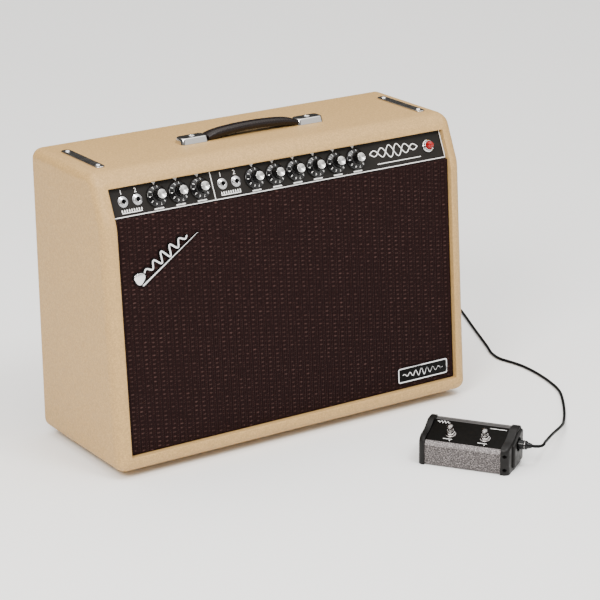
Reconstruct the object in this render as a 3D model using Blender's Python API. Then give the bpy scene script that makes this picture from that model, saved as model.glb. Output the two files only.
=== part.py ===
"""Open-backed combo guitar amplifier with a wired two-button footswitch, one object per piece.

Metres, +Z up. The amplifier faces -Y and stands on the floor, z = 0, with its footswitch before it.
The origin is the centre of the floor rectangle round the amplifier and the footswitch.
"""

import math

import bmesh
import bpy
from mathutils import Matrix, Vector

# Cabinet
CAB_WIDTH = 0.6223
CAB_DEPTH = 0.2413
CAB_HEIGHT = 0.436
FOOT_HEIGHT = 0.010
SIDE_BOARD = 0.0233
TOP_BOARD = 0.0218
BOTTOM_BOARD = 0.0233
BEND_Z = 0.3745
BEND_SETBACK = 0.0225
TOP_SETBACK = 0.0546
EDGE_ROUND = 0.015
REAR_ROUND = 0.006
GAP = 0.0003
FOOT_X, FRONT_FOOT_Y, REAR_FOOT_Y = 0.255, -0.062, 0.085

FRONT_Y = -CAB_DEPTH / 2
REAR_Y = CAB_DEPTH / 2
TOP_Z = FOOT_HEIGHT + CAB_HEIGHT
SIDE_INNER_X = CAB_WIDTH / 2 - SIDE_BOARD
FRONT_TILT = math.atan2(BEND_SETBACK, BEND_Z - FOOT_HEIGHT)

# Front: grille and baffle depths are measured inward from the sloping front plane
GRILLE_RECESS = 0.0076
GRILLE_THICK = 0.0074
BAFFLE_THICK = 0.0157
GRILLE_LOW = 0.0247
BAFFLE_LOW = 0.0262
GRILLE_HIGH = 0.373
SPEAKER_UP = 0.200
SPEAKER_RADIUS = 0.1525
SPEAKER_CUTOUT = 0.141

# Control panel
PANEL_FOOT = (-0.0852, 0.3826)
PANEL_TILT = math.radians(24.29)
PANEL_HEIGHT = 0.045
PANEL_THICK = 0.0015
PANEL_HALF = SIDE_INNER_X - 0.0005
CONTROL_LINE = PANEL_HEIGHT / 2
KNOB_PITCH = 0.0356
JACK_PITCH = 0.0232
NORMAL_JACK_X = -0.2680
NORMAL_KNOB_X = -0.2135
VIBRATO_JACK_X = -0.1045
VIBRATO_KNOB_X = -0.0500
LAMP_X = 0.2610
NORMAL_KNOBS = ("normal_volume", "normal_treble", "normal_bass")
VIBRATO_KNOBS = ("vibrato_volume", "vibrato_treble", "vibrato_bass", "reverb", "speed", "intensity")
SHAFT_HOLE = 0.0037
JACK_HOLE = 0.0055
LAMP_HOLE = 0.0080

# Chassis tray behind the panel
SHEET = 0.0016
CHASSIS_HALF = 0.283
CHASSIS_FLOOR = 0.3830
CHASSIS_TOP = 0.4215
CHASSIS_REAR = 0.098
REAR_LINE_Z = 0.4035

# Places along the rear of the chassis
INLET_X = 0.235
POWER_ROCKER_X = 0.192
OUTPUT_KNOB_X = 0.142
SIM_TOGGLE_X = 0.098
LEVEL_KNOB_X = 0.062
LIFT_TOGGLE_X = 0.030
LINE_OUT_X = -0.008
USB_X = -0.055
SWITCH_JACK_X = -0.100

# Handle and the straps that carry the chassis
HANDLE_Y = 0.0135
HANDLE_CAP_INNER = 0.078
HANDLE_CAP_OUTER = 0.124
STRAP_X = 0.279
STRAP_Y = 0.019
STRAP_LENGTH = 0.113

# Footswitch on the floor: its own frame runs along its length, back through its depth and up
PEDAL_CORNER = (0.0853, -0.3018)
PEDAL_HEADING = math.radians(-54.7)
PEDAL_LENGTH = 0.138
PEDAL_START = -0.002
PEDAL_CAP_LEFT, PEDAL_CAP_RIGHT = 0.0098, 0.0125
PEDAL_BOSS = 0.0035
PLATE_FRONT = (0.0055, 0.0378)
PLATE_REAR = (0.0570, 0.0535)
PEDAL_BUTTONS = (0.0408, 0.0932)
BUTTON_DEPTH = 0.0225
PEDAL_JACK = (0.0380, 0.0352)

# Cord
CORD_DIAMETER = 0.0046
CORD_FLOOR = CORD_DIAMETER / 2 + 0.0002
COIL_CENTRE = (0.300, 0.255)
COIL_INNER, COIL_OUTER = 0.0164, 0.0383
COIL_HEIGHT = 0.0102
PLUG_LENGTH = 0.0225
PLUG_TAIL = 0.007
AMP_SEAT, PEDAL_SEAT = 0.0043, -0.0057
PLUG_BEND = 0.011

# The floor rectangle's centre, seen from the middle of the cabinet
ORIGIN_Y = -0.14614


# ---------------------------------------------------------------- frames

def frame(origin, x_axis, y_axis):
    """A right-handed frame from its origin and first two axes."""
    x = Vector(x_axis).normalized()
    y = Vector(y_axis).normalized()
    return Matrix.Translation(origin) @ Matrix((x, y, x.cross(y))).transposed().to_4x4()


AMP = Matrix.Translation((0, -ORIGIN_Y, 0))
SIDEWAYS = AMP @ frame((0, 0, 0), (0, 1, 0), (0, 0, 1))
FRONT = AMP @ frame((0, FRONT_Y, FOOT_HEIGHT), (1, 0, 0), (0, math.sin(FRONT_TILT), math.cos(FRONT_TILT)))
PANEL = AMP @ frame((0, *PANEL_FOOT), (1, 0, 0), (0, math.sin(PANEL_TILT), math.cos(PANEL_TILT)))
REAR = AMP @ frame((0, CHASSIS_REAR, REAR_LINE_Z), (-1, 0, 0), (0, 0, 1))
PEDAL = AMP @ Matrix.Translation((*PEDAL_CORNER, 0)) @ Matrix.Rotation(PEDAL_HEADING, 4, "Z")


def on_panel(x):
    """The panel's frame moved along the line of controls."""
    return PANEL @ Matrix.Translation((x, CONTROL_LINE, 0))


def on_rear(x):
    """The rear frame moved to a place given by the amplifier's own x."""
    return REAR @ Matrix.Translation((-x, 0, 0))


def panel_point(up, out):
    """(y, z) of a point given by its height along the panel and its distance in front of it."""
    s, c = math.sin(PANEL_TILT), math.cos(PANEL_TILT)
    return PANEL_FOOT[0] + up * s - out * c, PANEL_FOOT[1] + up * c + out * s


# ---------------------------------------------------------------- materials

def principled(name, colour, roughness, metallic=0.0):
    material = bpy.data.materials.new(name)
    material.use_nodes = True
    shader = material.node_tree.nodes["Principled BSDF"]
    shader.inputs["Base Color"].default_value = (*colour, 1)
    shader.inputs["Roughness"].default_value = roughness
    shader.inputs["Metallic"].default_value = metallic
    return material


def make_materials():
    return {
        "vinyl": principled("vinyl", (0.62, 0.47, 0.31), 0.6),
        "ply": principled("ply", (0.10, 0.08, 0.07), 0.8),
        "cloth": principled("cloth", (0.045, 0.012, 0.012), 0.9),
        "panel": principled("panel", (0.012, 0.012, 0.013), 0.35),
        "knob": principled("knob", (0.008, 0.008, 0.008), 0.3),
        "chrome": principled("chrome", (0.80, 0.80, 0.82), 0.12, 1.0),
        "nickel": principled("nickel", (0.55, 0.53, 0.50), 0.25, 1.0),
        "steel": principled("steel", (0.55, 0.56, 0.58), 0.4, 1.0),
        "jewel": principled("jewel", (0.75, 0.01, 0.02), 0.1),
        "board": principled("board", (0.02, 0.12, 0.05), 0.5),
        "black_plastic": principled("black_plastic", (0.015, 0.015, 0.015), 0.4),
        "strap": principled("strap", (0.02, 0.012, 0.010), 0.45),
        "rubber": principled("rubber", (0.012, 0.012, 0.012), 0.8),
        "paper": principled("paper", (0.03, 0.03, 0.03), 0.9),
        "frame_paint": principled("frame_paint", (0.05, 0.05, 0.055), 0.45, 0.6),
        "pedal_metal": principled("pedal_metal", (0.30, 0.28, 0.28), 0.5, 0.7),
        "cord": principled("cord", (0.008, 0.008, 0.008), 0.5),
    }


# ---------------------------------------------------------------- shapes

def place(name, bm, material, matrix):
    """Makes a bmesh into a named object whose origin is the matrix's."""
    bmesh.ops.recalc_face_normals(bm, faces=bm.faces)
    mesh = bpy.data.meshes.new(name)
    bm.to_mesh(mesh)
    bm.free()
    mesh.shade_smooth()
    mesh.set_sharp_from_angle(angle=math.radians(35))
    if material:
        mesh.materials.append(material)
    obj = bpy.data.objects.new(name, mesh)
    bpy.context.collection.objects.link(obj)
    obj.matrix_world = matrix
    return obj


def extruded(outline, low, high):
    """A closed prism: a loop of (x, y) points from z = low to z = high."""
    bm = bmesh.new()
    rings = [[bm.verts.new((x, y, z)) for x, y in outline] for z in (low, high)]
    count = len(outline)
    bm.faces.new(rings[0])
    bm.faces.new(rings[1])
    for i in range(count):
        j = (i + 1) % count
        bm.faces.new((rings[0][i], rings[0][j], rings[1][j], rings[1][i]))
    return bm


def turned(profile, steps):
    """A closed solid turned about z from a loop of (radius, z) points; those at radius 0 lie on the axis."""
    bm = bmesh.new()
    rings = []
    for radius, z in profile:
        if radius == 0:
            rings.append([bm.verts.new((0, 0, z))])
        else:
            turns = [2 * math.pi * i / steps for i in range(steps)]
            rings.append([bm.verts.new((radius * math.cos(a), radius * math.sin(a), z)) for a in turns])
    for lower, upper in zip(rings, rings[1:] + rings[:1]):
        for i in range(steps):
            j = (i + 1) % steps
            corners = (
                lower[i % len(lower)], lower[j % len(lower)], upper[j % len(upper)], upper[i % len(upper)]
            )
            corners = tuple(dict.fromkeys(corners))
            if len(corners) > 2:
                bm.faces.new(corners)
    return bm


def cylinder(radius, low, high, steps=24):
    return turned([(0, high), (radius, high), (radius, low), (0, low)], steps)


def block(size, centre=(0, 0, 0)):
    bm = bmesh.new()
    bmesh.ops.create_cube(bm, size=1, matrix=Matrix.Translation(centre) @ Matrix.Diagonal((*size, 1)))
    return bm


def rounded(width, height, radius, steps=4):
    """A rectangle's outline about its centre, with round corners."""
    points = []
    for turn, (sx, sy) in enumerate(((1, 1), (-1, 1), (-1, -1), (1, -1))):
        for step in range(steps + 1):
            angle = math.radians(90 * (turn + step / steps))
            points.append(
                (
                    sx * (width / 2 - radius) + radius * math.cos(angle),
                    sy * (height / 2 - radius) + radius * math.sin(angle),
                )
            )
    return points


def bevel(bm, width, segments, chosen=lambda edge: True):
    bmesh.ops.bevel(bm, geom=[e for e in bm.edges if chosen(e)], offset=width, segments=segments, profile=0.5,
                    affect="EDGES")
    return bm


def together(parts):
    """One bmesh from several that don't touch, each with the matrix that moves it."""
    whole = bmesh.new()
    for bm, matrix in parts:
        bm.transform(matrix)
        mesh = bpy.data.meshes.new("part")
        bm.to_mesh(mesh)
        bm.free()
        whole.from_mesh(mesh)
        bpy.data.meshes.remove(mesh)
    return whole


def combine(obj, bm, operation, matrix=None):
    """Joins a shape to an object, or cuts it away, and leaves one plain mesh."""
    tool = place("tool", bm, None, matrix or obj.matrix_world)
    bpy.context.view_layer.update()
    modifier = obj.modifiers.new("combine", "BOOLEAN")
    modifier.operation = operation
    modifier.object = tool
    evaluated = obj.evaluated_get(bpy.context.evaluated_depsgraph_get())
    mesh = bpy.data.meshes.new_from_object(evaluated)
    obj.modifiers.clear()
    obj.data = mesh
    bpy.data.objects.remove(tool)
    return obj


def smooth_route(points, per_span):
    """Points read from a centripetal Catmull-Rom curve through the route's own points, with its ends kept."""
    route = [Vector(p) for p in points]
    padded = [2 * route[0] - route[1], *route, 2 * route[-1] - route[-2]]
    pace = [(b - a).length ** 0.5 for a, b in zip(padded, padded[1:])]
    legs = [(b - a) / t for a, b, t in zip(padded, padded[1:], pace)]
    slopes = [
        legs[i] + legs[i + 1] - (padded[i + 2] - padded[i]) / (pace[i] + pace[i + 1])
        for i in range(len(route))
    ]
    read = []
    for i in range(len(route) - 1):
        leave, arrive = slopes[i] * pace[i + 1], slopes[i + 1] * pace[i + 1]
        for step in range(per_span):
            t = step / per_span
            rise = t * t * (3 - 2 * t)
            bow = leave * t * (1 - t) ** 2 - arrive * t * t * (1 - t)
            read.append(route[i] * (1 - rise) + route[i + 1] * rise + bow)
    return read + [route[-1]]


def tube(name, points, material):
    curve = bpy.data.curves.new(name, "CURVE")
    curve.dimensions = "3D"
    curve.bevel_depth = CORD_DIAMETER / 2
    curve.bevel_resolution = 2
    curve.use_fill_caps = True
    spline = curve.splines.new("POLY")
    spline.points.add(len(points) - 1)
    for point, place_at in zip(spline.points, points):
        point.co = (*place_at, 1)
    curve.materials.append(material)
    obj = bpy.data.objects.new(name, curve)
    bpy.context.collection.objects.link(obj)
    obj.matrix_world = AMP
    return obj


# ---------------------------------------------------------------- cabinet

def front_y(z):
    """The cabinet's front face at a height: two flat slopes that meet at the bend."""
    if z < BEND_Z:
        return FRONT_Y + BEND_SETBACK * (z - FOOT_HEIGHT) / (BEND_Z - FOOT_HEIGHT)
    return FRONT_Y + BEND_SETBACK + (TOP_SETBACK - BEND_SETBACK) * (z - BEND_Z) / (TOP_Z - BEND_Z)


def cabinet_sides(materials):
    outline = [
        (FRONT_Y, FOOT_HEIGHT),
        (front_y(BEND_Z), BEND_Z),
        (front_y(TOP_Z), TOP_Z),
        (REAR_Y, TOP_Z),
        (REAR_Y, FOOT_HEIGHT),
    ]
    for name, side in (("cabinet_side_left", -1), ("cabinet_side_right", 1)):
        outer = side * CAB_WIDTH / 2
        bm = extruded(outline, *sorted((side * SIDE_INNER_X, outer)))
        bevel(bm, EDGE_ROUND, 3, lambda edge: all(abs(v.co.z - outer) < 1e-6 for v in edge.verts))
        place(name, bm, materials["vinyl"], SIDEWAYS)


def cabinet_top_and_bottom(materials):
    half = SIDE_INNER_X - GAP
    under = TOP_Z - TOP_BOARD
    outline = [(front_y(under), under), (front_y(TOP_Z), TOP_Z), (REAR_Y, TOP_Z), (REAR_Y, under)]
    top = extruded(outline, -half, half)
    bevel(top, EDGE_ROUND, 3, lambda edge: all(v.co.y > TOP_Z - 1e-6 and v.co.x < 0 for v in edge.verts))
    bevel(top, REAR_ROUND, 2,
          lambda edge: all(v.co.y > TOP_Z - 1e-6 and v.co.x > REAR_Y - 1e-6 for v in edge.verts))
    place("cabinet_top", top, materials["vinyl"], SIDEWAYS)

    over = FOOT_HEIGHT + BOTTOM_BOARD
    bottom = extruded([(FRONT_Y, FOOT_HEIGHT), (front_y(over), over), (REAR_Y, over), (REAR_Y, FOOT_HEIGHT)],
                      -half, half)
    bevel(bottom, EDGE_ROUND, 3,
          lambda edge: all(v.co.x < 0 and v.co.y < FOOT_HEIGHT + 1e-6 for v in edge.verts))
    place("cabinet_bottom", bottom, materials["vinyl"], SIDEWAYS)


def back_panels(materials):
    half = SIDE_INNER_X - 0.001
    for name, low, high in (("upper_back_panel", 0.278, 0.3815), ("lower_back_panel", 0.0340, 0.128)):
        board = block((2 * half, 0.012, high - low), (0, 0.112, (low + high) / 2))
        bevel(board, 0.0015, 1)
        place(name, board, materials["vinyl"], AMP)


def feet(materials):
    profile = [(0, FOOT_HEIGHT - GAP), (0.0150, FOOT_HEIGHT - GAP), (0.0150, 0.004), (0.0125, 0), (0, 0)]
    for name, x, y in (
        ("foot_front_left", -FOOT_X, FRONT_FOOT_Y),
        ("foot_front_right", FOOT_X, FRONT_FOOT_Y),
        ("foot_rear_left", -FOOT_X, REAR_FOOT_Y),
        ("foot_rear_right", FOOT_X, REAR_FOOT_Y),
    ):
        place(name, turned(profile, 20), materials["rubber"], AMP @ Matrix.Translation((x, y, 0)))


def baffle_and_grille(materials):
    width = 2 * (SIDE_INNER_X - 0.0005)
    middle = (GRILLE_LOW + GRILLE_HIGH) / 2
    grille = block(
        (width, GRILLE_HIGH - GRILLE_LOW, GRILLE_THICK), (0, middle, -GRILLE_RECESS - GRILLE_THICK / 2)
    )
    bevel(grille, 0.0012, 1)
    place("grille_panel", grille, materials["cloth"], FRONT)

    front = -GRILLE_RECESS - GRILLE_THICK - GAP
    middle = (BAFFLE_LOW + GRILLE_HIGH) / 2
    baffle = place(
        "baffle_board",
        block((width, GRILLE_HIGH - BAFFLE_LOW, BAFFLE_THICK), (0, middle, front - BAFFLE_THICK / 2)),
        materials["ply"],
        FRONT,
    )
    hole = cylinder(SPEAKER_CUTOUT, -0.1, 0.1, 36)
    combine(baffle, hole, "DIFFERENCE", FRONT @ Matrix.Translation((0, SPEAKER_UP, 0)))


# ---------------------------------------------------------------- speaker

def speaker(materials):
    """Frame, magnet and cone turned about the speaker's axis; local z runs back into the cabinet."""
    seat = GRILLE_RECESS + GRILLE_THICK + BAFFLE_THICK + 2 * GAP
    axis = FRONT @ Matrix.Translation((0, SPEAKER_UP, -seat)) @ Matrix.Rotation(math.pi, 4, "X")
    rim, wall = SPEAKER_RADIUS, 0.0018
    basket = [
        (rim, 0), (rim, 0.004), (0.1405, 0.004), (0.1405, 0.014), (0.078, 0.078), (0.078, 0.084),
        (0.030, 0.084), (0.030, 0.078 + wall), (0.074, 0.078 + wall), (0.074, 0.077), (0.1385, 0.0125),
        (0.1385, 0),
    ]
    speaker_frame = place("speaker_frame", turned(basket, 36), materials["frame_paint"], axis)
    windows = []
    for i in range(6):
        wedge = extruded([(0.084, -0.016), (0.130, -0.040), (0.130, 0.040), (0.084, 0.016)], 0.010, 0.074)
        windows.append((wedge, Matrix.Rotation(math.radians(60 * i), 4, "Z")))
    combine(speaker_frame, together(windows), "DIFFERENCE")

    back = 0.084 + GAP
    magnet = [
        (0, back + 0.044), (0.050, back + 0.044), (0.052, back + 0.036), (0.078, back + 0.034),
        (0.078, back + 0.006), (0.066, back + 0.006), (0.066, back), (0.0275, back), (0.0275, back + 0.020),
        (0.0225, back + 0.020), (0.0225, back), (0, back),
    ]
    place("speaker_magnet", turned(magnet, 24), materials["steel"], axis)

    cone = [
        (0, 0.046), (0.018, 0.050), (0.029, 0.0585), (0.126, 0.0060), (0.130, 0.0035), (0.134, 0.0035),
        (0.138, 0.0070), (0.138, 0.0082), (0.134, 0.0052), (0.130, 0.0052), (0.126, 0.0075),
        (0.0262, 0.0615), (0.0262, 0.092), (0.0240, 0.092), (0.0240, 0.0600), (0.018, 0.0515), (0, 0.0475),
    ]
    place("speaker_cone", turned(cone, 30), materials["paper"], axis)


# ---------------------------------------------------------------- chassis and control panel

def control_places():
    """The x of each control on the panel: jacks, knobs and lamp."""
    jacks = {
        "normal_input_1": NORMAL_JACK_X,
        "normal_input_2": NORMAL_JACK_X + JACK_PITCH,
        "vibrato_input_1": VIBRATO_JACK_X,
        "vibrato_input_2": VIBRATO_JACK_X + JACK_PITCH,
    }
    knobs = {name: NORMAL_KNOB_X + i * KNOB_PITCH for i, name in enumerate(NORMAL_KNOBS)}
    knobs.update({name: VIBRATO_KNOB_X + i * KNOB_PITCH for i, name in enumerate(VIBRATO_KNOBS)})
    return jacks, knobs


def panel_holes(low, high):
    """The round holes shared by the panel and the chassis front, as one cutter in the panel's frame."""
    jacks, knobs = control_places()
    holes = [(x, JACK_HOLE) for x in jacks.values()]
    holes += [(x, SHAFT_HOLE) for x in knobs.values()]
    holes.append((LAMP_X, LAMP_HOLE))
    return together(
        [(cylinder(r, low, high, 12), Matrix.Translation((x, CONTROL_LINE, 0))) for x, r in holes]
    )


def rear_holes():
    """The openings in the chassis rear, as one cutter in the rear frame."""
    through = (-0.004, 0.002)
    shapes = [
        (INLET_X, extruded(rounded(0.0276, 0.0206, 0.0003, 1), *through)),
        (POWER_ROCKER_X, extruded(rounded(0.0136, 0.0216, 0.001, 1), *through)),
        (OUTPUT_KNOB_X, cylinder(SHAFT_HOLE, *through, 16)),
        (SIM_TOGGLE_X, cylinder(0.0033, *through, 16)),
        (LEVEL_KNOB_X, cylinder(SHAFT_HOLE, *through, 16)),
        (LIFT_TOGGLE_X, cylinder(0.0033, *through, 16)),
        (LINE_OUT_X, cylinder(0.0108, *through, 24)),
        (USB_X, extruded(rounded(0.0130, 0.0120, 0.0005, 1), *through)),
        (SWITCH_JACK_X, cylinder(JACK_HOLE, *through, 16)),
    ]
    return together([(bm, Matrix.Translation((-x, 0, 0))) for x, bm in shapes])


def chassis(materials):
    """An open-topped sheet tray: sloping front, flat floor, upright rear."""

    def tray(front_out, floor, top, rear, half):
        foot = (floor - PANEL_FOOT[1] - front_out * math.sin(PANEL_TILT)) / math.cos(PANEL_TILT)
        head = (top - PANEL_FOOT[1] - front_out * math.sin(PANEL_TILT)) / math.cos(PANEL_TILT)
        outline = [panel_point(foot, front_out), (rear, floor), (rear, top), panel_point(head, front_out)]
        return extruded(outline, -half, half)

    out = -PANEL_THICK - GAP
    tray_obj = place(
        "chassis", tray(out, CHASSIS_FLOOR, CHASSIS_TOP, CHASSIS_REAR, CHASSIS_HALF),
        materials["steel"], SIDEWAYS,
    )
    inside = tray(
        out - SHEET, CHASSIS_FLOOR + SHEET, CHASSIS_TOP + 0.01, CHASSIS_REAR - SHEET, CHASSIS_HALF - SHEET
    )
    combine(tray_obj, inside, "DIFFERENCE")
    combine(tray_obj, panel_holes(-0.006, 0.001), "DIFFERENCE", PANEL)
    combine(tray_obj, rear_holes(), "DIFFERENCE", REAR)


def control_panel(materials):
    plate = block((2 * PANEL_HALF, PANEL_HEIGHT, PANEL_THICK), (0, PANEL_HEIGHT / 2, -PANEL_THICK / 2))
    panel = place("control_panel", plate, materials["panel"], PANEL)
    combine(panel, panel_holes(-0.006, 0.001), "DIFFERENCE")


def knobs(materials):
    """Skirted knobs, each with the shaft that runs through the panel to its potentiometer."""
    profile = [
        (0, 0.0188), (0.0072, 0.0188), (0.0085, 0.0066), (0.0160, 0.0032), (0.0166, 0.0008),
        (0.0030, 0.0008), (0.0030, -0.0042), (0, -0.0042),
    ]
    for name, x in control_places()[1].items():
        place(name + "_knob", turned(profile, 18), materials["knob"], on_panel(x))


def jack_profile(inside):
    """A quarter-inch socket: nut and washer outside the panel, body behind the sheet."""
    return [
        (0.00375, 0.0040), (0.0058, 0.0034), (0.0062, 0.0012), (0.0080, GAP), (0.0048, GAP),
        (0.0048, -0.0038), (0.0085, -0.0038), (0.0085, -0.0126), (0.0058, -0.0128), (0.0058, inside),
        (0, inside), (0, inside + 0.0015), (0.00375, inside + 0.0015),
    ]


def input_jacks(materials):
    for name, x in control_places()[0].items():
        place(name, turned(jack_profile(-0.0280), 14), materials["chrome"], on_panel(x))


def pilot_lamp(materials):
    bezel = [
        (0.0064, 0.0062), (0.0074, 0.0062), (0.0078, 0.0034), (0.0098, 0.0022), (0.0100, GAP),
        (0.0075, GAP), (0.0075, -0.0110), (0, -0.0110), (0, -0.0095), (0.0064, -0.0095),
    ]
    place("pilot_bezel", turned(bezel, 20), materials["chrome"], on_panel(LAMP_X))
    jewel = [
        (0, 0.0138), (0.0025, 0.0134), (0.0046, 0.0120), (0.0060, 0.0094), (0.0060, -0.0060), (0, -0.0060)
    ]
    place("pilot_jewel", turned(jewel, 16), materials["jewel"], on_panel(LAMP_X))


# ---------------------------------------------------------------- electronics

def control_board(materials):
    """The potentiometer board, parallel to the panel, with a can for each knob and a hole for each jack."""
    board = place(
        "control_board", block((0.540, 0.0285, 0.0016), (0, 0.0258, -0.0142)), materials["board"], PANEL
    )
    jacks, knobs_at = control_places()
    cans = [
        (cylinder(0.0080, -0.0138, -0.0046, 12), Matrix.Translation((x, CONTROL_LINE, 0)))
        for x in knobs_at.values()
    ]
    combine(board, together(cans), "UNION")
    holes = [
        (cylinder(0.0070, -0.02, 0, 12), Matrix.Translation((x, CONTROL_LINE, 0))) for x in jacks.values()
    ]
    combine(board, together(holes), "DIFFERENCE")


def main_board(materials):
    """Signal and power-amplifier board on the chassis floor, with its heat sink and USB socket."""
    floor = CHASSIS_FLOOR + SHEET + 0.003
    board = place(
        "main_board", block((0.290, 0.120, 0.0016), (0.030, 0.032, floor + 0.0008)), materials["board"], AMP
    )
    tall = floor + 0.0014
    pieces = [block((0.060, 0.030, 0.026), (0.120, 0.000, tall + 0.013))]
    pieces += [cylinder(0.009, tall, tall + 0.024, 16) for _ in range(3)]
    places = [Matrix.Identity(4)] + [Matrix.Translation((0.040 + 0.022 * i, 0.045, 0)) for i in range(3)]
    pieces.append(block((0.0120, 0.0160, 0.0224), (USB_X, CHASSIS_REAR - 0.0130, tall + 0.0112)))
    places.append(Matrix.Identity(4))
    combine(board, together(list(zip(pieces, places))), "UNION")
    snout = block((0.0120, 0.0120, 0.0110), (USB_X, CHASSIS_REAR - 0.0052, REAR_LINE_Z))
    combine(board, snout, "UNION", AMP)
    socket = block((0.0086, 0.0110, 0.0078), (USB_X, CHASSIS_REAR - 0.0030, REAR_LINE_Z))
    combine(board, socket, "DIFFERENCE", AMP)


def power_supply(materials):
    """The enclosed mains supply beside the inlet, with cooling slots in its lid."""
    base = CHASSIS_FLOOR + SHEET + 0.001
    supply = place(
        "power_supply", block((0.076, 0.100, 0.028), (0.232, 0.000, base + 0.014)), materials["steel"], AMP
    )
    slots = [
        (block((0.050, 0.004, 0.006)), Matrix.Translation((0.232, -0.030 + 0.012 * i, base + 0.028)))
        for i in range(6)
    ]
    combine(supply, together(slots), "DIFFERENCE")


# ---------------------------------------------------------------- rear fittings

def mains_inlet(materials):
    body = place("mains_inlet", block((0.0310, 0.0240, 0.0026), (0, 0, 0.0016)), materials["black_plastic"],
                 on_rear(INLET_X))
    combine(body, block((0.0270, 0.0200, 0.0220), (0, 0, -0.0100)), "UNION")
    cavity = extruded(rounded(0.0240, 0.0165, 0.003, 2), -0.0160, 0.010)
    combine(body, cavity, "DIFFERENCE")
    pins = [(block((0.002, 0.004, 0.014), (0, 0, -0.010)), Matrix.Translation((x, y, 0)))
            for x, y in ((-0.007, -0.001), (0, 0.003), (0.007, -0.001))]
    combine(body, together(pins), "UNION")


def power_rocker(materials):
    """A rocker on a pivot along the amplifier's x, built tipped to its on position."""
    outline = [(-0.0098, -0.004), (-0.0098, 0.0030), (0, 0.0012), (0.0098, 0.0030), (0.0098, -0.004),
               (0, -0.0075)]
    rocker = extruded(outline, -0.0060, 0.0060)
    rocker.transform(Matrix.Rotation(math.radians(90), 4, "Y") @ Matrix.Rotation(math.radians(90), 4, "Z"))
    rocker.transform(Matrix.Rotation(math.radians(8), 4, "X"))
    place("power_rocker", rocker, materials["black_plastic"], on_rear(POWER_ROCKER_X))


def rear_knobs(materials):
    for name, x, radius, height in (
        ("output_power_knob", OUTPUT_KNOB_X, 0.0095, 0.0135),
        ("line_level_knob", LEVEL_KNOB_X, 0.0065, 0.0110),
    ):
        profile = [(0, height), (radius - 0.0015, height), (radius, height - 0.0015),
                   (radius + 0.0005, 0.0010),
                   (0.0030, 0.0010), (0.0030, -0.0060), (0, -0.0060)]
        place(name, turned(profile, 16), materials["knob"], on_rear(x))


def toggles(materials):
    """Bat-handle levers; each turns about the centre of its ball, just inside the sheet."""
    profile = [(0, 0.0150), (0.0014, 0.0145), (0.0021, 0.0125), (0.0012, 0.0030), (0.0024, 0.0010),
               (0.0026, 0), (0.0018, -0.0020), (0, -0.0026)]
    for name, x, lean in (("cabinet_sim_toggle", SIM_TOGGLE_X, 0), ("ground_lift_toggle", LIFT_TOGGLE_X, 12)):
        tilt = Matrix.Rotation(math.radians(lean), 4, "X")
        lever = turned(profile, 10)
        lever.transform(tilt)
        place(name, lever, materials["chrome"], on_rear(x))


def rear_sockets(materials):
    shell = [(0.0080, 0.0030), (0.0125, 0.0030), (0.0125, GAP), (0.0102, GAP), (0.0102, -0.0160),
             (0, -0.0160), (0, -0.0130), (0.0080, -0.0130)]
    line_out = place("line_out_socket", turned(shell, 20), materials["nickel"], on_rear(LINE_OUT_X))
    pins = [(cylinder(0.0012, -0.0135, 0.0005, 8), Matrix.Rotation(math.radians(120 * i + 90), 4, "Z")
             @ Matrix.Translation((0.0042, 0, 0))) for i in range(3)]
    combine(line_out, together(pins), "UNION")
    place("footswitch_jack", turned(jack_profile(-0.0300), 14), materials["chrome"], on_rear(SWITCH_JACK_X))


# ---------------------------------------------------------------- handle and straps

def handle(materials):
    """A strap handle: an arched strap whose ends run into two metal caps screwed to the top."""
    ends, rise, sag = HANDLE_CAP_INNER - GAP, 0.0050, TOP_Z + 0.0012
    steps = 18
    lower, upper = [], []
    for i in range(steps + 1):
        x = -ends + 2 * ends * i / steps
        share = abs(x) / ends
        arch = rise * (1 - share**2)
        thick = 0.0070 + 0.0040 * (1 - share**8)
        lower.append((x, sag + arch))
        upper.append((x, sag + arch + thick))
    strap = extruded(lower + upper[::-1], -0.0115, 0.0115)
    strap.transform(Matrix.Rotation(math.radians(90), 4, "X"))
    place("handle_strap", strap, materials["strap"], AMP @ Matrix.Translation((0, HANDLE_Y, 0)))

    length = HANDLE_CAP_OUTER - HANDLE_CAP_INNER
    for name, side in (("handle_cap_left", -1), ("handle_cap_right", 1)):
        cap = extruded(rounded(length, 0.0250, 0.005, 3), TOP_Z + GAP, TOP_Z + 0.0092)
        bevel(cap, 0.0018, 2, lambda edge: all(v.co.z > TOP_Z + 0.009 for v in edge.verts))
        middle = side * (HANDLE_CAP_INNER + length / 2)
        place(name, cap, materials["chrome"], AMP @ Matrix.Translation((middle, HANDLE_Y, 0)))


def chassis_straps(materials):
    """Nickel straps on the top board, each with the heads of the two screws that carry the chassis."""
    for name, side in (("chassis_strap_left", -1), ("chassis_strap_right", 1)):
        plate = extruded(rounded(0.0150, STRAP_LENGTH, 0.0060, 3), TOP_Z + GAP, TOP_Z + 0.0021)
        centre = AMP @ Matrix.Translation((side * STRAP_X, STRAP_Y, 0))
        strap = place(name, plate, materials["nickel"], centre)
        head = [(0, 0.0042), (0.0020, 0.0040), (0.0042, 0.0024), (0.0042, 0.0015), (0, 0.0015)]
        heads = [(turned(head, 10), Matrix.Translation((0, y, TOP_Z))) for y in (-0.046, 0.046)]
        combine(strap, together(heads), "UNION")


# ---------------------------------------------------------------- badges

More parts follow.
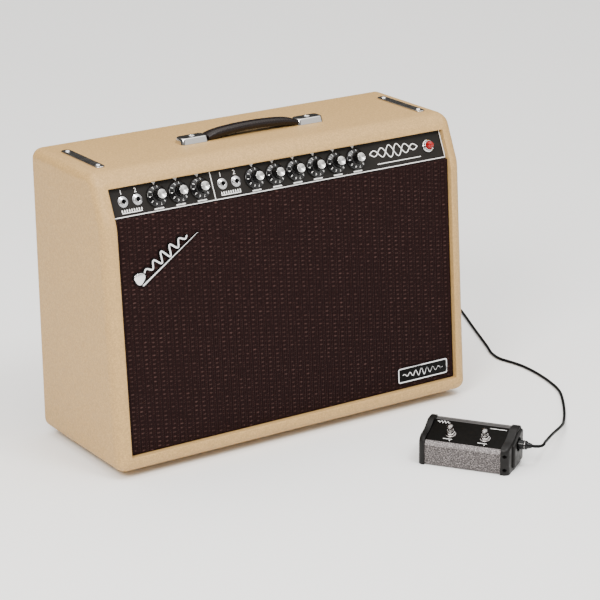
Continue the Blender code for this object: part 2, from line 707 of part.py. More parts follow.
def badges(materials):
    """Two plain badges on the grille: a slanting bar and a framed plate."""
    face = -GRILLE_RECESS + GAP
    bar = extruded(rounded(0.128, 0.026, 0.0125, 5), face, face + 0.0030)
    slant = Matrix.Rotation(math.radians(31), 4, "Z")
    place("emblem", bar, materials["chrome"], FRONT @ Matrix.Translation((-0.214, 0.309, 0)) @ slant)
    plate = extruded(rounded(0.093, 0.0236, 0.0035, 3), face, face + 0.0026)
    place("nameplate", plate, materials["chrome"], FRONT @ Matrix.Translation((0.2286, 0.0466, 0)))


# ---------------------------------------------------------------- footswitch

def pedal_frame():
    """Outlines are drawn as (depth, height) and run along the pedal's length."""
    return PEDAL @ frame((0, 0, 0), (0, 1, 0), (0, 0, 1))


def button_frame(along):
    """On the sloping plate at a button, with local z square to the plate."""
    slope = (PLATE_REAR[1] - PLATE_FRONT[1]) / (PLATE_REAR[0] - PLATE_FRONT[0])
    height = PLATE_FRONT[1] + (BUTTON_DEPTH - PLATE_FRONT[0]) * slope
    seat = PEDAL @ Matrix.Translation((along, BUTTON_DEPTH, height))
    return seat @ Matrix.Rotation(math.atan(slope), 4, "X")


def pedal_housing(materials):
    outer = [(0, 0.0012), (0, 0.0310), (0.0025, 0.0362), PLATE_FRONT, PLATE_REAR, (0.0615, 0.0535),
             (0.0615, 0.0012)]
    inner = [(0.002, 0.0032), (0.002, 0.0305), (0.0043, 0.0350), (0.0060, 0.0357), (0.0565, 0.0511),
             (0.0595, 0.0511), (0.0595, 0.0032)]
    low = PEDAL_START + PEDAL_CAP_LEFT + GAP
    high = PEDAL_START + PEDAL_LENGTH - PEDAL_CAP_RIGHT - GAP
    housing = place("pedal_housing", extruded(outer, low, high), materials["pedal_metal"], pedal_frame())
    combine(housing, extruded(inner, low - 0.01, high + 0.01), "DIFFERENCE")
    bushing = [(0, 0.0085), (0.0052, 0.0085), (0.0054, 0.0040), (0.0068, 0.0038), (0.0068, -0.0006),
               (0, -0.0006)]
    for along in PEDAL_BUTTONS:
        combine(housing, turned(bushing, 14), "UNION", button_frame(along))
        combine(housing, cylinder(0.0042, -0.01, 0.02, 14), "DIFFERENCE", button_frame(along))


def pedal_buttons(materials):
    profile = [(0, 0.0168), (0.0036, 0.0166), (0.0047, 0.0156), (0.0047, 0.0118), (0.0038, 0.0116),
               (0.0038, -0.0050), (0, -0.0050)]
    for name, along in zip(("pedal_button_left", "pedal_button_right"), PEDAL_BUTTONS):
        place(name, turned(profile, 14), materials["chrome"], button_frame(along))


def pedal_ends(materials):
    """End caps with a waved top; the right one has a boss that holds the socket."""
    outline = [
        (-0.0020, 0), (-0.0020, 0.0340), (-0.0008, 0.0378), (0.0030, 0.0408), (0.0100, 0.0428),
        (0.0190, 0.0443), (0.0280, 0.0470), (0.0350, 0.0508), (0.0410, 0.0543), (0.0470, 0.0558),
        (0.0600, 0.0558), (0.0625, 0.0540), (0.0635, 0.0500), (0.0635, 0),
    ]
    right = PEDAL_START + PEDAL_LENGTH
    for name, outer, inner in (
        ("pedal_end_left", PEDAL_START, PEDAL_START + PEDAL_CAP_LEFT),
        ("pedal_end_right", right, right - PEDAL_CAP_RIGHT),
    ):
        cap = extruded(outline, *sorted((outer, inner)))
        bevel(cap, 0.0025, 2, lambda edge: all(abs(v.co.z - outer) < 1e-6 for v in edge.verts))
        place(name, cap, materials["black_plastic"], pedal_frame())
    end = bpy.data.objects["pedal_end_right"]
    boss_outline = [
        (0.0175, 0.0060), (0.0195, 0.0045), (0.0590, 0.0045), (0.0610, 0.0065), (0.0610, 0.0500),
        (0.0585, 0.0525), (0.0475, 0.0520), (0.0415, 0.0500), (0.0350, 0.0465), (0.0280, 0.0430),
        (0.0195, 0.0405), (0.0175, 0.0390),
    ]
    boss = extruded(boss_outline, right - 0.005, right + PEDAL_BOSS)
    bevel(boss, 0.0015, 2, lambda edge: all(v.co.z > right for v in edge.verts))
    combine(end, boss, "UNION", pedal_frame())
    socket = [(0, 0.01), (0.0110, 0.01), (0.0110, -0.006), (0.0038, -0.006), (0.0038, -0.03), (0, -0.03)]
    combine(end, turned(socket, 20), "DIFFERENCE", plug_frame())


def plug_frame():
    """At the pedal's socket, on its end face, with local z pointing out of it."""
    end = PEDAL_START + PEDAL_LENGTH
    return PEDAL @ frame((end, *PEDAL_JACK), (0, 1, 0), (0, 0, 1))


# ---------------------------------------------------------------- cord

def cord_plugs(materials):
    """Straight quarter-inch plugs: a tip in the socket, a barrel and a short strain relief."""
    for name, seat, matrix in (
        ("cord_plug_amp", AMP_SEAT, on_rear(SWITCH_JACK_X)),
        ("cord_plug_pedal", PEDAL_SEAT, plug_frame()),
    ):
        end = seat + PLUG_LENGTH
        profile = [
            (0, end + PLUG_TAIL), (0.0036, end + PLUG_TAIL), (0.0050, end), (0.0066, end - 0.001),
            (0.0069, seat + 0.004), (0.0064, seat), (0.0032, seat), (0.0032, seat - 0.026),
            (0.0010, seat - 0.029), (0, seat - 0.029),
        ]
        place(name, turned(profile, 14), materials["rubber"], matrix)


def out_of_pedal_plug():
    """Straight out of the pedal's plug, then a quarter turn towards the rear, in the amplifier's frame."""
    reach, straight = PEDAL_SEAT + PLUG_LENGTH + PLUG_TAIL + GAP, 0.003
    points = [(0, 0, reach), (0, 0, reach + straight)]
    for degrees in (30, 60, 90):
        a = math.radians(degrees)
        points.append((PLUG_BEND * (1 - math.cos(a)), 0, reach + straight + PLUG_BEND * math.sin(a)))
    to_amp = AMP.inverted() @ plug_frame()
    return [tuple(to_amp @ Vector(p)) for p in points]


def cord_routes():
    """Centre lines in the amplifier's frame: down from the rear socket to the coil, and on to the pedal."""
    reach = AMP_SEAT + PLUG_LENGTH + PLUG_TAIL + GAP
    edge = COIL_OUTER + CORD_DIAMETER / 2 + GAP
    down = [
        (SWITCH_JACK_X, CHASSIS_REAR + reach, REAR_LINE_Z),
        (SWITCH_JACK_X, CHASSIS_REAR + reach + 0.010, REAR_LINE_Z - 0.0015),
        (-0.0995, 0.1580, 0.3960),
        (-0.0985, 0.1690, 0.3800),
        (-0.0975, 0.1730, 0.3500),
        (-0.0960, 0.1740, 0.2600),
        (-0.0940, 0.1740, 0.1500),
        (-0.0900, 0.1740, 0.0700),
        (-0.0780, 0.1745, 0.0260),
        (-0.0550, 0.1755, 0.0055),
        (-0.0200, 0.1775, CORD_FLOOR),
        (0.0300, 0.1820, CORD_FLOOR),
        (0.0900, 0.1870, CORD_FLOOR),
        (0.1500, 0.1890, CORD_FLOOR),
        (0.1950, 0.1930, CORD_FLOOR),
        (0.2300, 0.2060, CORD_FLOOR),
        (0.2530, 0.2290, CORD_FLOOR),
        (COIL_CENTRE[0] - edge, COIL_CENTRE[1], CORD_FLOOR),
    ]
    away = [
        (COIL_CENTRE[0], COIL_CENTRE[1] + edge, CORD_FLOOR),
        (0.3300, 0.2980, CORD_FLOOR),
        (0.3650, 0.3070, CORD_FLOOR),
        (0.4050, 0.3210, CORD_FLOOR),
        (0.4600, 0.3290, CORD_FLOOR),
        (0.5150, 0.3150, CORD_FLOOR),
        (0.5490, 0.2830, CORD_FLOOR),
        (0.5570, 0.2450, CORD_FLOOR),
        (0.5440, 0.2070, CORD_FLOOR),
        (0.5130, 0.1360, CORD_FLOOR),
        (0.4900, 0.0830, CORD_FLOOR),
        (0.4700, 0.0370, CORD_FLOOR),
        (0.4560, 0.0060, CORD_FLOOR),
        (0.4515, -0.0200, CORD_FLOOR),
        (0.4560, -0.0430, CORD_FLOOR),
        (0.4600, -0.0680, CORD_FLOOR),
        (0.4580, -0.1100, CORD_FLOOR),
        (0.4490, -0.1570, CORD_FLOOR),
        (0.4370, -0.1920, CORD_FLOOR),
        (0.4140, -0.2290, CORD_FLOOR),
        (0.3820, -0.2720, CORD_FLOOR),
        (0.3600, -0.2975, 0.0040),
        (0.3410, -0.3180, 0.0090),
        (0.3200, -0.3360, 0.0140),
        (0.2960, -0.3545, 0.0190),
        (0.2700, -0.3760, 0.0252),
        (0.2470, -0.3955, 0.0302),
        (0.2340, -0.4070, 0.0334),
    ]
    away += out_of_pedal_plug()[::-1]
    return down, away


def cord(materials):
    down, away = cord_routes()
    tube("cord_upper", smooth_route(down, 2), materials["cord"])
    tube("cord_lower", smooth_route(away, 2), materials["cord"])
    low, soft = 0.0002, 0.0022
    ring = [
        (COIL_INNER + soft, low), (COIL_OUTER - soft, low), (COIL_OUTER, low + soft),
        (COIL_OUTER, COIL_HEIGHT - soft),
        (COIL_OUTER - soft, COIL_HEIGHT), (COIL_INNER + soft, COIL_HEIGHT), (COIL_INNER, COIL_HEIGHT - soft),
        (COIL_INNER, low + soft),
    ]
    place("cord_coil", turned(ring, 24), materials["cord"], AMP @ Matrix.Translation((*COIL_CENTRE, 0)))


def main():
    for obj in list(bpy.data.objects):
        bpy.data.objects.remove(obj)
    materials = make_materials()
    cabinet_sides(materials)
    cabinet_top_and_bottom(materials)
    back_panels(materials)
    feet(materials)
    baffle_and_grille(materials)
    speaker(materials)
    chassis(materials)
    control_panel(materials)
    knobs(materials)
    input_jacks(materials)
    pilot_lamp(materials)
    control_board(materials)
    main_board(materials)
    power_supply(materials)
    mains_inlet(materials)
    power_rocker(materials)
    rear_knobs(materials)
    toggles(materials)
    rear_sockets(materials)
    handle(materials)
    chassis_straps(materials)
    badges(materials)
    pedal_housing(materials)
    pedal_buttons(materials)
    pedal_ends(materials)
    cord_plugs(materials)
    cord(materials)


main()
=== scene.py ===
"""The guitar amplifier and its footswitch as they look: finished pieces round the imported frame."""

import math

import bmesh
import bpy
from mathutils import Matrix, Vector


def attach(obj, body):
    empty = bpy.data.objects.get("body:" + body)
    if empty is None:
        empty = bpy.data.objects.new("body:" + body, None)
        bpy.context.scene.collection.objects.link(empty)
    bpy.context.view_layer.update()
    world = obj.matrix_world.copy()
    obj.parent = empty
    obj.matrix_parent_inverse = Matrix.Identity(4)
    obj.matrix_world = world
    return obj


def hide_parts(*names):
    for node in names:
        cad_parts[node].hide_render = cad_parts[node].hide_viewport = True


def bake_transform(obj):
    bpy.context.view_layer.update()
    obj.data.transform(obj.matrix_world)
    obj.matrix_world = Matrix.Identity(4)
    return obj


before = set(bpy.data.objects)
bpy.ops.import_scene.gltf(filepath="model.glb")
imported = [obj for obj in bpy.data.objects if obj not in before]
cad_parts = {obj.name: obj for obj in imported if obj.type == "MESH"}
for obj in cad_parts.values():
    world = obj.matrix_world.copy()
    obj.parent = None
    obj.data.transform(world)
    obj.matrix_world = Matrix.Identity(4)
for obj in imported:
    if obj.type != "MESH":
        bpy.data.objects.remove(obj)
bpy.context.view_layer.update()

# ---------------------------------------------------------------- sizes, in metres, as in the frame

GAP = 0.0003
SHIFT = 0.14614  # from the origin back to the middle of the cabinet's depth
FRONT_Y, REAR_Y = -0.12065, 0.12065
FOOT, TOP_Z = 0.010, 0.446
HALF_WIDTH = 0.31115
INNER_X = 0.2899  # the recess looks 2 mm wider at each side than the frame's boards leave it
INNER_LOW, INNER_HIGH = 0.0333, 0.4242
BEND_Z, BEND_SETBACK, TOP_SETBACK = 0.3745, 0.0225, 0.0546
FRONT_TILT = math.atan2(BEND_SETBACK, BEND_Z - FOOT)
PANEL_FOOT, PANEL_TILT, PANEL_HEIGHT = (-0.0852, 0.3826), math.radians(24.29), 0.045
PANEL_HALF = INNER_X - 0.0005
CONTROL_LINE = PANEL_HEIGHT / 2
KNOBS = {
    "normal_volume": -0.2135, "normal_treble": -0.1779, "normal_bass": -0.1423, "vibrato_volume": -0.0500,
    "vibrato_treble": -0.0144, "vibrato_bass": 0.0212, "reverb": 0.0568, "speed": 0.0924, "intensity": 0.1280,
}
JACKS = {
    "normal_input_1": -0.2680, "normal_input_2": -0.2448,
    "vibrato_input_1": -0.1045, "vibrato_input_2": -0.0813,
}
LAMP_X = 0.2610
REAR_SHEET, REAR_LINE_Z = 0.098, 0.4035
INLET_X, ROCKER_X, OUTPUT_X, SIM_X = 0.235, 0.192, 0.142, 0.098
LEVEL_X, LIFT_X, LINE_OUT_X, USB_X, SWITCH_JACK_X = 0.062, 0.030, -0.008, -0.055, -0.100
HANDLE_Y, CAP_INNER, CAP_OUTER = 0.0135, 0.078, 0.124
PEDAL_CORNER, PEDAL_HEADING = (0.0853, -0.3018), math.radians(-54.7)
PEDAL_START, PEDAL_LENGTH = -0.002, 0.138
PEDAL_CAP_LEFT, PEDAL_CAP_RIGHT, PEDAL_BOSS = 0.0098, 0.0125, 0.0035
PEDAL_LOW = PEDAL_START + PEDAL_CAP_LEFT + GAP
PEDAL_HIGH = PEDAL_START + PEDAL_LENGTH - PEDAL_CAP_RIGHT - GAP
PLATE_FRONT, PLATE_REAR = (0.0055, 0.0378), (0.0570, 0.0535)
PEDAL_BUTTONS, BUTTON_DEPTH, PEDAL_JACK = (0.0408, 0.0932), 0.0225, (0.0380, 0.0352)
CORD_RADIUS = 0.0023
CORD_FLOOR = CORD_RADIUS + 0.0002
PLUG_LENGTH, PLUG_NECK = 0.0225, 0.007
AMP_SEAT, PEDAL_SEAT = 0.0043, -0.0057
COIL_CENTRE = (0.300, 0.255)
GRILLE_FACE, GRILLE_BACK = -0.0076, -0.0150
STRAP_RISE, STRAP_SWELL = 0.0050, 0.0040
BAFFLE_THICKNESS = 0.0157
BASKET_TOP = 0.084
PRINT = 0.00012  # how far printing stands above its surface


def frame_at(origin, x_axis, y_axis):
    x, y = Vector(x_axis).normalized(), Vector(y_axis).normalized()
    return Matrix.Translation(origin) @ Matrix((x, y, x.cross(y))).transposed().to_4x4()


def moved(x, y, z=0.0):
    return Matrix.Translation((x, y, z))


def turn(degrees, axis):
    return Matrix.Rotation(math.radians(degrees), 4, axis)


AMP = moved(0, SHIFT)
FRONT = AMP @ frame_at((0, FRONT_Y, FOOT), (1, 0, 0), (0, math.sin(FRONT_TILT), math.cos(FRONT_TILT)))
PANEL = AMP @ frame_at((0, *PANEL_FOOT), (1, 0, 0), (0, math.sin(PANEL_TILT), math.cos(PANEL_TILT)))
REAR = AMP @ frame_at((0, REAR_SHEET, REAR_LINE_Z), (-1, 0, 0), (0, 0, 1))
PEDAL = AMP @ moved(*PEDAL_CORNER) @ Matrix.Rotation(PEDAL_HEADING, 4, "Z")
PEDAL_SIDE = PEDAL @ frame_at((0, 0, 0), (0, 1, 0), (0, 0, 1))
PLATE_SLOPE = (PLATE_REAR[1] - PLATE_FRONT[1]) / (PLATE_REAR[0] - PLATE_FRONT[0])
PLATE_WIDTH, PLATE_DEPTH = PEDAL_HIGH - PEDAL_LOW, math.dist(PLATE_FRONT, PLATE_REAR) - 0.0052
PLATE_CORNER = PEDAL @ moved(0, *PLATE_FRONT) @ Matrix.Rotation(math.atan(PLATE_SLOPE), 4, "X")
PLATE = PLATE_CORNER @ moved((PEDAL_LOW + PEDAL_HIGH) / 2, PLATE_DEPTH / 2)
PLUG = PEDAL @ frame_at((PEDAL_START + PEDAL_LENGTH, *PEDAL_JACK), (0, 1, 0), (0, 0, 1))


def on_rear(x):
    return REAR @ moved(-x, 0)


def on_panel(x):
    return PANEL @ moved(x, CONTROL_LINE)


# ---------------------------------------------------------------- materials

def add_node(tree, kind, inputs, **settings):
    """A shader node whose inputs are given as numbers or as sockets to link from."""
    node = tree.nodes.new("ShaderNode" + kind)
    for name, value in settings.items():
        setattr(node, name, value)
    for key, value in inputs.items():
        if isinstance(value, bpy.types.NodeSocket):
            tree.links.new(value, node.inputs[key])
        else:
            node.inputs[key].default_value = value
    return node


class Look:
    """A Principled material and the nodes that give it colour, roughness and relief."""

    def __init__(self, name, colour, roughness, metallic=0.0, **sockets):
        self.material = bpy.data.materials.new(name)
        self.material.use_nodes = True
        self.tree = self.material.node_tree
        self.shader = self.tree.nodes["Principled BSDF"]
        self.shader.inputs["Base Color"].default_value = (*colour, 1)
        self.shader.inputs["Roughness"].default_value = roughness
        self.shader.inputs["Metallic"].default_value = metallic
        for socket, value in sockets.items():
            self.shader.inputs[socket.replace("_", " ")].default_value = value
        self.place = self.tree.nodes.new("ShaderNodeTexCoord").outputs["Object"]
        self.bump = None

    def node(self, kind, inputs, **settings):
        return add_node(self.tree, kind, inputs, **settings)

    def stretched(self, x, y, z):
        return self.node("Mapping", {"Vector": self.place, "Scale": (x, y, z)}).outputs[0]

    def noise(self, scale, detail=3.0, place=None):
        found = {"Vector": place or self.place, "Scale": scale, "Detail": detail}
        return self.node("TexNoise", found).outputs[0]

    def cells(self, scale, smooth):
        found = {"Vector": self.place, "Scale": scale, "Smoothness": smooth}
        return self.node("TexVoronoi", found, feature="SMOOTH_F1").outputs[0]

    def math(self, operation, *values):
        return self.node("Math", dict(enumerate(values)), operation=operation).outputs[0]

    def spread(self, value, low, high, to_low, to_high):
        ends = {"Value": value, "From Min": low, "From Max": high, "To Min": to_low, "To Max": to_high}
        return self.node("MapRange", ends).outputs[0]

    def axis(self, index):
        return self.node("SeparateXYZ", {"Vector": self.place}).outputs[index]

    def blend(self, factor, first, second):
        """A colour between two, which may be colours or sockets."""
        ends = [c if isinstance(c, bpy.types.NodeSocket) else (*c, 1) for c in (first, second)]
        mixed = self.node("Mix", {0: factor, 6: ends[0], 7: ends[1]}, data_type="RGBA")
        return mixed.outputs[2]

    def tint(self, factor, first, second):
        mixed = self.blend(factor, first, second)
        self.tree.links.new(mixed, self.shader.inputs["Base Color"])
        return mixed

    def rough(self, factor, low, high, to_low, to_high):
        self.tree.links.new(self.spread(factor, low, high, to_low, to_high), self.shader.inputs["Roughness"])

    def relief(self, height, distance, strength=1.0):
        inputs = {"Height": height, "Distance": distance, "Strength": strength}
        if self.bump:
            inputs["Normal"] = self.bump
        self.bump = self.node("Bump", inputs).outputs[0]
        self.tree.links.new(self.bump, self.shader.inputs["Normal"])


def shade(colour, factor):
    return tuple(c * factor for c in colour)


def vinyl_look(name, colour):
    """Pebbled vinyl: rounded pebbles a millimetre or so across, with painted shade in the creases."""
    look = Look(name, colour, 0.5, Specular_IOR_Level=0.45)
    pebble = look.cells(760, 0.6)
    grain = look.noise(2600, 2)
    # painted shade: the creases between pebbles are darkened in colour, besides being sunk by the relief
    crease_shade = look.spread(pebble, 0.25, 0.75, 0.0, 1.0)
    broad = look.spread(look.noise(330, 3), 0.35, 0.65, 0.0, 1.0)
    base = look.blend(broad, shade(colour, 0.82), shade(colour, 1.10))
    look.tint(look.math("MULTIPLY", crease_shade, 0.7), base, shade(colour, 0.70))
    look.rough(look.noise(240, 2), 0.3, 0.7, 0.44, 0.60)
    look.relief(look.math("SUBTRACT", 1.0, pebble), 0.00035, 0.75)
    look.relief(grain, 0.00006, 0.5)
    return look.material


def wood_look(name, light, dark, scale=9.0):
    """Plain board: long grain along x, a little open pore."""
    look = Look(name, light, 0.62)
    long = look.stretched(1.0, 9.0, 9.0)
    grain = look.noise(scale, 6, long)
    pores = look.noise(scale * 28, 3, look.stretched(0.6, 8.0, 8.0))
    look.tint(look.spread(grain, 0.35, 0.65, 0, 1), light, dark)
    look.rough(pores, 0.3, 0.7, 0.5, 0.75)
    look.relief(grain, 0.0003, 0.4)
    look.relief(pores, 0.0001, 0.5)
    return look.material


def cloth_look():
    """Dark oxblood grille cloth: a tight weave with columns of lighter cross threads."""
    columns_apart, rows_apart, threads_apart = 0.0130, 0.0065, 0.0016
    look = Look("grille_cloth", (0.020, 0.0070, 0.0078), 0.88, Specular_IOR_Level=0.12)
    x, y = look.axis(0), look.axis(1)
    column = look.math("MULTIPLY", x, 1 / columns_apart)
    shift = look.math("FRACT", look.math("MULTIPLY", look.math("FLOOR", column), 0.377))
    row = look.math("ADD", look.math("MULTIPLY", y, 1 / rows_apart), shift)

    def waves(along, apart):
        return look.math("SINE", look.math("MULTIPLY", along, 2 * math.pi / apart))

    def mask(value, inner, outer):
        away = look.math("ABSOLUTE", look.math("SUBTRACT", look.math("FRACT", value), 0.5))
        return look.spread(away, inner, outer, 1.0, 0.0)

    fleck = look.math("MULTIPLY", mask(column, 0.12, 0.24), mask(row, 0.08, 0.22))
    uneven = look.math("MULTIPLY", look.spread(look.noise(230, 2), 0.35, 0.65, 0.0, 1.0),
                       look.spread(look.noise(18, 2), 0.3, 0.7, 0.45, 1.0))
    fleck = look.math("MULTIPLY", fleck, uneven)
    stripe = look.spread(waves(x, columns_apart / 2), -1, 1, 0, 1)
    crossing = look.math("MULTIPLY", waves(x, threads_apart), waves(y, threads_apart))
    weave = look.spread(crossing, -1, 1, 0, 1)
    mottle = look.math("MULTIPLY", look.math("MULTIPLY_ADD", weave, 0.55, 0.30), look.noise(420, 2))
    base = look.blend(mottle, (0.0050, 0.0010, 0.0010), (0.023, 0.0066, 0.0062))
    base = look.blend(look.math("MULTIPLY", stripe, 0.35), base, (0.0042, 0.0018, 0.0014))
    between = mask(look.math("ADD", column, 0.5), 0.05, 0.16)
    small = look.math("MULTIPLY", between, mask(look.math("MULTIPLY", row, 2.0), 0.05, 0.25))
    small = look.math("MULTIPLY", small, look.spread(look.noise(330, 2), 0.4, 0.7, 0.0, 0.6))
    fleck = look.math("MAXIMUM", fleck, small)
    look.tint(look.math("MULTIPLY", fleck, 0.68), base, (0.105, 0.054, 0.047))
    look.relief(weave, 0.00030, 0.8)
    look.relief(fleck, 0.00045, 0.8)
    return look.material


def metal_look(name, colour, roughness, smudge=0.06, grain=None):
    """Plated metal with faint smudges; grain stretches a fine brushed texture along one axis."""
    look = Look(name, colour, roughness, 1.0)
    look.rough(look.noise(60, 4), 0.3, 0.7, max(0.02, roughness - smudge / 2), roughness + smudge)
    look.tint(look.noise(35, 3), shade(colour, 0.94), shade(colour, 1.03))
    if grain:
        look.relief(look.noise(900, 3, look.stretched(*grain)), 0.00005, 0.6)
    return look.material


def spun_look(name, colour, roughness, pitch):
    """Turned metal: fine rings round the piece's own z axis, so its highlights fan out from the middle."""
    look = Look(name, colour, roughness, 1.0, Anisotropic=0.85, Anisotropic_Rotation=0.25)
    x, y = look.axis(0), look.axis(1)
    radius = look.math("SQRT", look.math("ADD", look.math("MULTIPLY", x, x), look.math("MULTIPLY", y, y)))
    rings = look.math("SINE", look.math("MULTIPLY", radius, 2 * math.pi / pitch))
    around = look.node("Tangent", {}, direction_type="RADIAL", axis="Z")
    look.tree.links.new(around.outputs["Tangent"], look.shader.inputs["Tangent"])
    look.relief(rings, 0.000004, 0.6)
    # painted shade: the grooves of the rings are darkened in colour, besides being sunk by the relief
    look.tint(look.spread(rings, -1, 1, 0, 1), shade(colour, 0.80), shade(colour, 1.02))
    look.rough(look.noise(300, 2), 0.3, 0.7, roughness * 0.85, roughness * 1.3)
    return look.material


def plastic_look(name, colour, roughness, texture=0.00003, scale=900, coat=0.0, level=0.5):
    """Moulded plastic or paint. texture is the depth of its relief in metres, level its specular level."""
    look = Look(name, colour, roughness, Coat_Weight=coat, Coat_Roughness=0.08, Specular_IOR_Level=level)
    look.tint(look.noise(45, 3), shade(colour, 0.85), shade(colour, 1.2))
    look.rough(look.noise(130, 3), 0.3, 0.7, roughness * 0.85, min(1.0, roughness * 1.25))
    look.relief(look.noise(scale, 2), texture, 0.6)
    return look.material


def hammered_look(name, light, dark):
    """Silver-grey texture paint: close, soft-edged lumps over a metal base, with painted shade in the
    hollows.
    """
    look = Look(name, light, 0.42, 0.35)
    lumps = look.cells(520, 0.25)
    fine = look.noise(540, 3)
    # painted shade: the hollows between lumps are darkened towards the dark colour; patch adds darker spots
    # at random
    hollow_shade = look.spread(lumps, 0.22, 0.58, 0.0, 1.0)
    patch = look.spread(fine, 0.42, 0.60, 0.0, 1.0)
    look.tint(look.math("MAXIMUM", look.math("MULTIPLY", hollow_shade, 0.75), patch), light, dark)
    look.rough(lumps, 0.2, 0.7, 0.34, 0.6)
    look.relief(look.math("SUBTRACT", 1.0, lumps), 0.00055, 0.85)
    return look.material


def jewel_look():
    """Red glass with a faint glow from the lamp behind it."""
    look = Look("jewel_red", (0.26, 0.0004, 0.0012), 0.06, Coat_Weight=0.3, Coat_Roughness=0.03, IOR=1.5)
    look.tint(look.noise(220, 2), (0.20, 0.0003, 0.001), (0.32, 0.0008, 0.002))
    look.shader.inputs["Emission Color"].default_value = (1.0, 0.001, 0.003, 1)
    look.shader.inputs["Emission Strength"].default_value = 0.05
    look.relief(look.noise(700, 1), 0.00002, 0.3)
    return look.material


def board_look():
    """Green circuit board with fine parallel tracks."""
    look = Look("circuit_board", (0.012, 0.10, 0.035), 0.38, Coat_Weight=0.3)
    tracks = look.math("GREATER_THAN", look.math("SINE", look.math("MULTIPLY", look.axis(0), 2200.0)), 0.72)
    look.tint(look.math("MULTIPLY", tracks, look.noise(90, 1)), (0.010, 0.085, 0.030), (0.030, 0.19, 0.07))
    look.relief(tracks, 0.00005, 0.6)
    return look.material


def strap_look():
    """Moulded strap: brown-black with a soft, close grain."""
    look = Look("strap_leather", (0.007, 0.0034, 0.0028), 0.26, Specular_IOR_Level=0.28)
    look.tint(look.noise(60, 4), (0.004, 0.0021, 0.0018), (0.011, 0.0054, 0.0044))
    look.rough(look.noise(300, 3), 0.3, 0.7, 0.22, 0.36)
    look.relief(look.cells(900, 0.5), 0.00006, 0.4)
    return look.material


def cone_look():
    """Pressed paper with fibres at random."""
    look = Look("cone_paper", (0.030, 0.028, 0.026), 0.88)
    fibres = look.noise(700, 5)
    look.tint(fibres, (0.016, 0.015, 0.014), (0.060, 0.056, 0.052))
    look.relief(fibres, 0.0002, 0.7)
    return look.material


def print_look(name, colour):
    """Flat printing ink, a little uneven."""
    look = Look(name, colour, 0.5)
    look.tint(look.noise(300, 3), shade(colour, 0.93), colour)
    look.relief(look.noise(1200, 2), 0.00001, 0.4)
    return look.material


CREAM = (0.530, 0.325, 0.118)
M = {
    "vinyl": vinyl_look("cream_vinyl", CREAM),
    "pine": wood_look("pine_inside", (0.42, 0.27, 0.13), (0.30, 0.17, 0.075)),
    "ply": wood_look("dark_ply", (0.035, 0.027, 0.022), (0.020, 0.015, 0.012), 14.0),
    "cloth": cloth_look(),
    "panel": plastic_look("panel_black", (0.014, 0.0125, 0.0112), 0.42, 0.00002, 1400, level=0.12),
    "print": print_look("white_print", (0.97, 0.96, 0.94)),
    "knob": plastic_look("knob_black", (0.0030, 0.0030, 0.0031), 0.16, 0.00001, 700, level=0.30),
    "spun": spun_look("spun_aluminium", (0.88, 0.87, 0.85), 0.24, 0.00055),
    "chrome": metal_look("chrome", (0.80, 0.80, 0.81), 0.07),
    # painted shade: chrome with its base colour darkened to stand in for darker reflections, for the nuts and
    # the plug ring
    "dark_chrome": metal_look("dark_chrome", (0.50, 0.48, 0.47), 0.09),
    # painted shade: chrome with its base colour darkened further to stand in for dark surroundings reflected
    # in the stomp buttons
    "worn_chrome": metal_look("worn_chrome", (0.30, 0.285, 0.275), 0.16),
    "soft_chrome": metal_look("soft_chrome", (0.66, 0.64, 0.62), 0.12),
    "nickel": metal_look("nickel", (0.66, 0.63, 0.59), 0.17, 0.10),
    "zinc": metal_look("zinc_steel", (0.58, 0.59, 0.60), 0.34, 0.12, (1.0, 0.06, 0.06)),
    "iron": metal_look("dark_iron", (0.13, 0.13, 0.14), 0.42, 0.14),
    "jewel": jewel_look(),
    "board": board_look(),
    "black": plastic_look("black_plastic", (0.010, 0.0095, 0.009), 0.40, 0.00005, 800, level=0.35),
    "cap_black": plastic_look("end_cap_plastic", (0.0050, 0.0044, 0.0041), 0.42, 0.00006, 1100, level=0.22),
    "plate_black": plastic_look("plate_paint", (0.0030, 0.0026, 0.0021), 0.50, 0.00005, 1500, level=0.06),
    "strap": strap_look(),
    "thread": print_look("stitch_thread", (0.030, 0.018, 0.015)),
    "rubber": plastic_look("rubber", (0.016, 0.016, 0.016), 0.72, 0.00010, 900),
    "jacket": plastic_look("cord_jacket", (0.0016, 0.0016, 0.0017), 0.45, 0.00003, 1200, level=0.10),
    "plug": plastic_look("plug_black", (0.0030, 0.0030, 0.0032), 0.22, 0.00001, 600, level=0.22),
    "cone": cone_look(),
    "basket": plastic_look("basket_paint", (0.045, 0.045, 0.050), 0.36, 0.00004, 600, 0.2),
    "hammered": hammered_look("hammered_paint", (0.31, 0.275, 0.270), (0.016, 0.0135, 0.0135)),
    # painted highlight: a paler copy of the texture paint for the front-edge band, where more light falls
    "band": hammered_look("hammered_band_highlight", (0.40, 0.365, 0.360), (0.085, 0.076, 0.076)),
    "rail": metal_look("rail_aluminium", (0.11, 0.105, 0.104), 0.36, 0.10, (0.05, 1.0, 1.0)),
    # painted shade: near-black for the deep part of a socket's bore
    "hole": plastic_look("painted_recess_shade", (0.004, 0.004, 0.004), 0.8),
    "badge_black": plastic_look("badge_enamel", (0.003, 0.003, 0.003), 0.38, 0.00001, 700, level=0.06),
}


# ---------------------------------------------------------------- shapes

SHARP = 35.0  # degrees between two faces from which their edge is drawn sharp


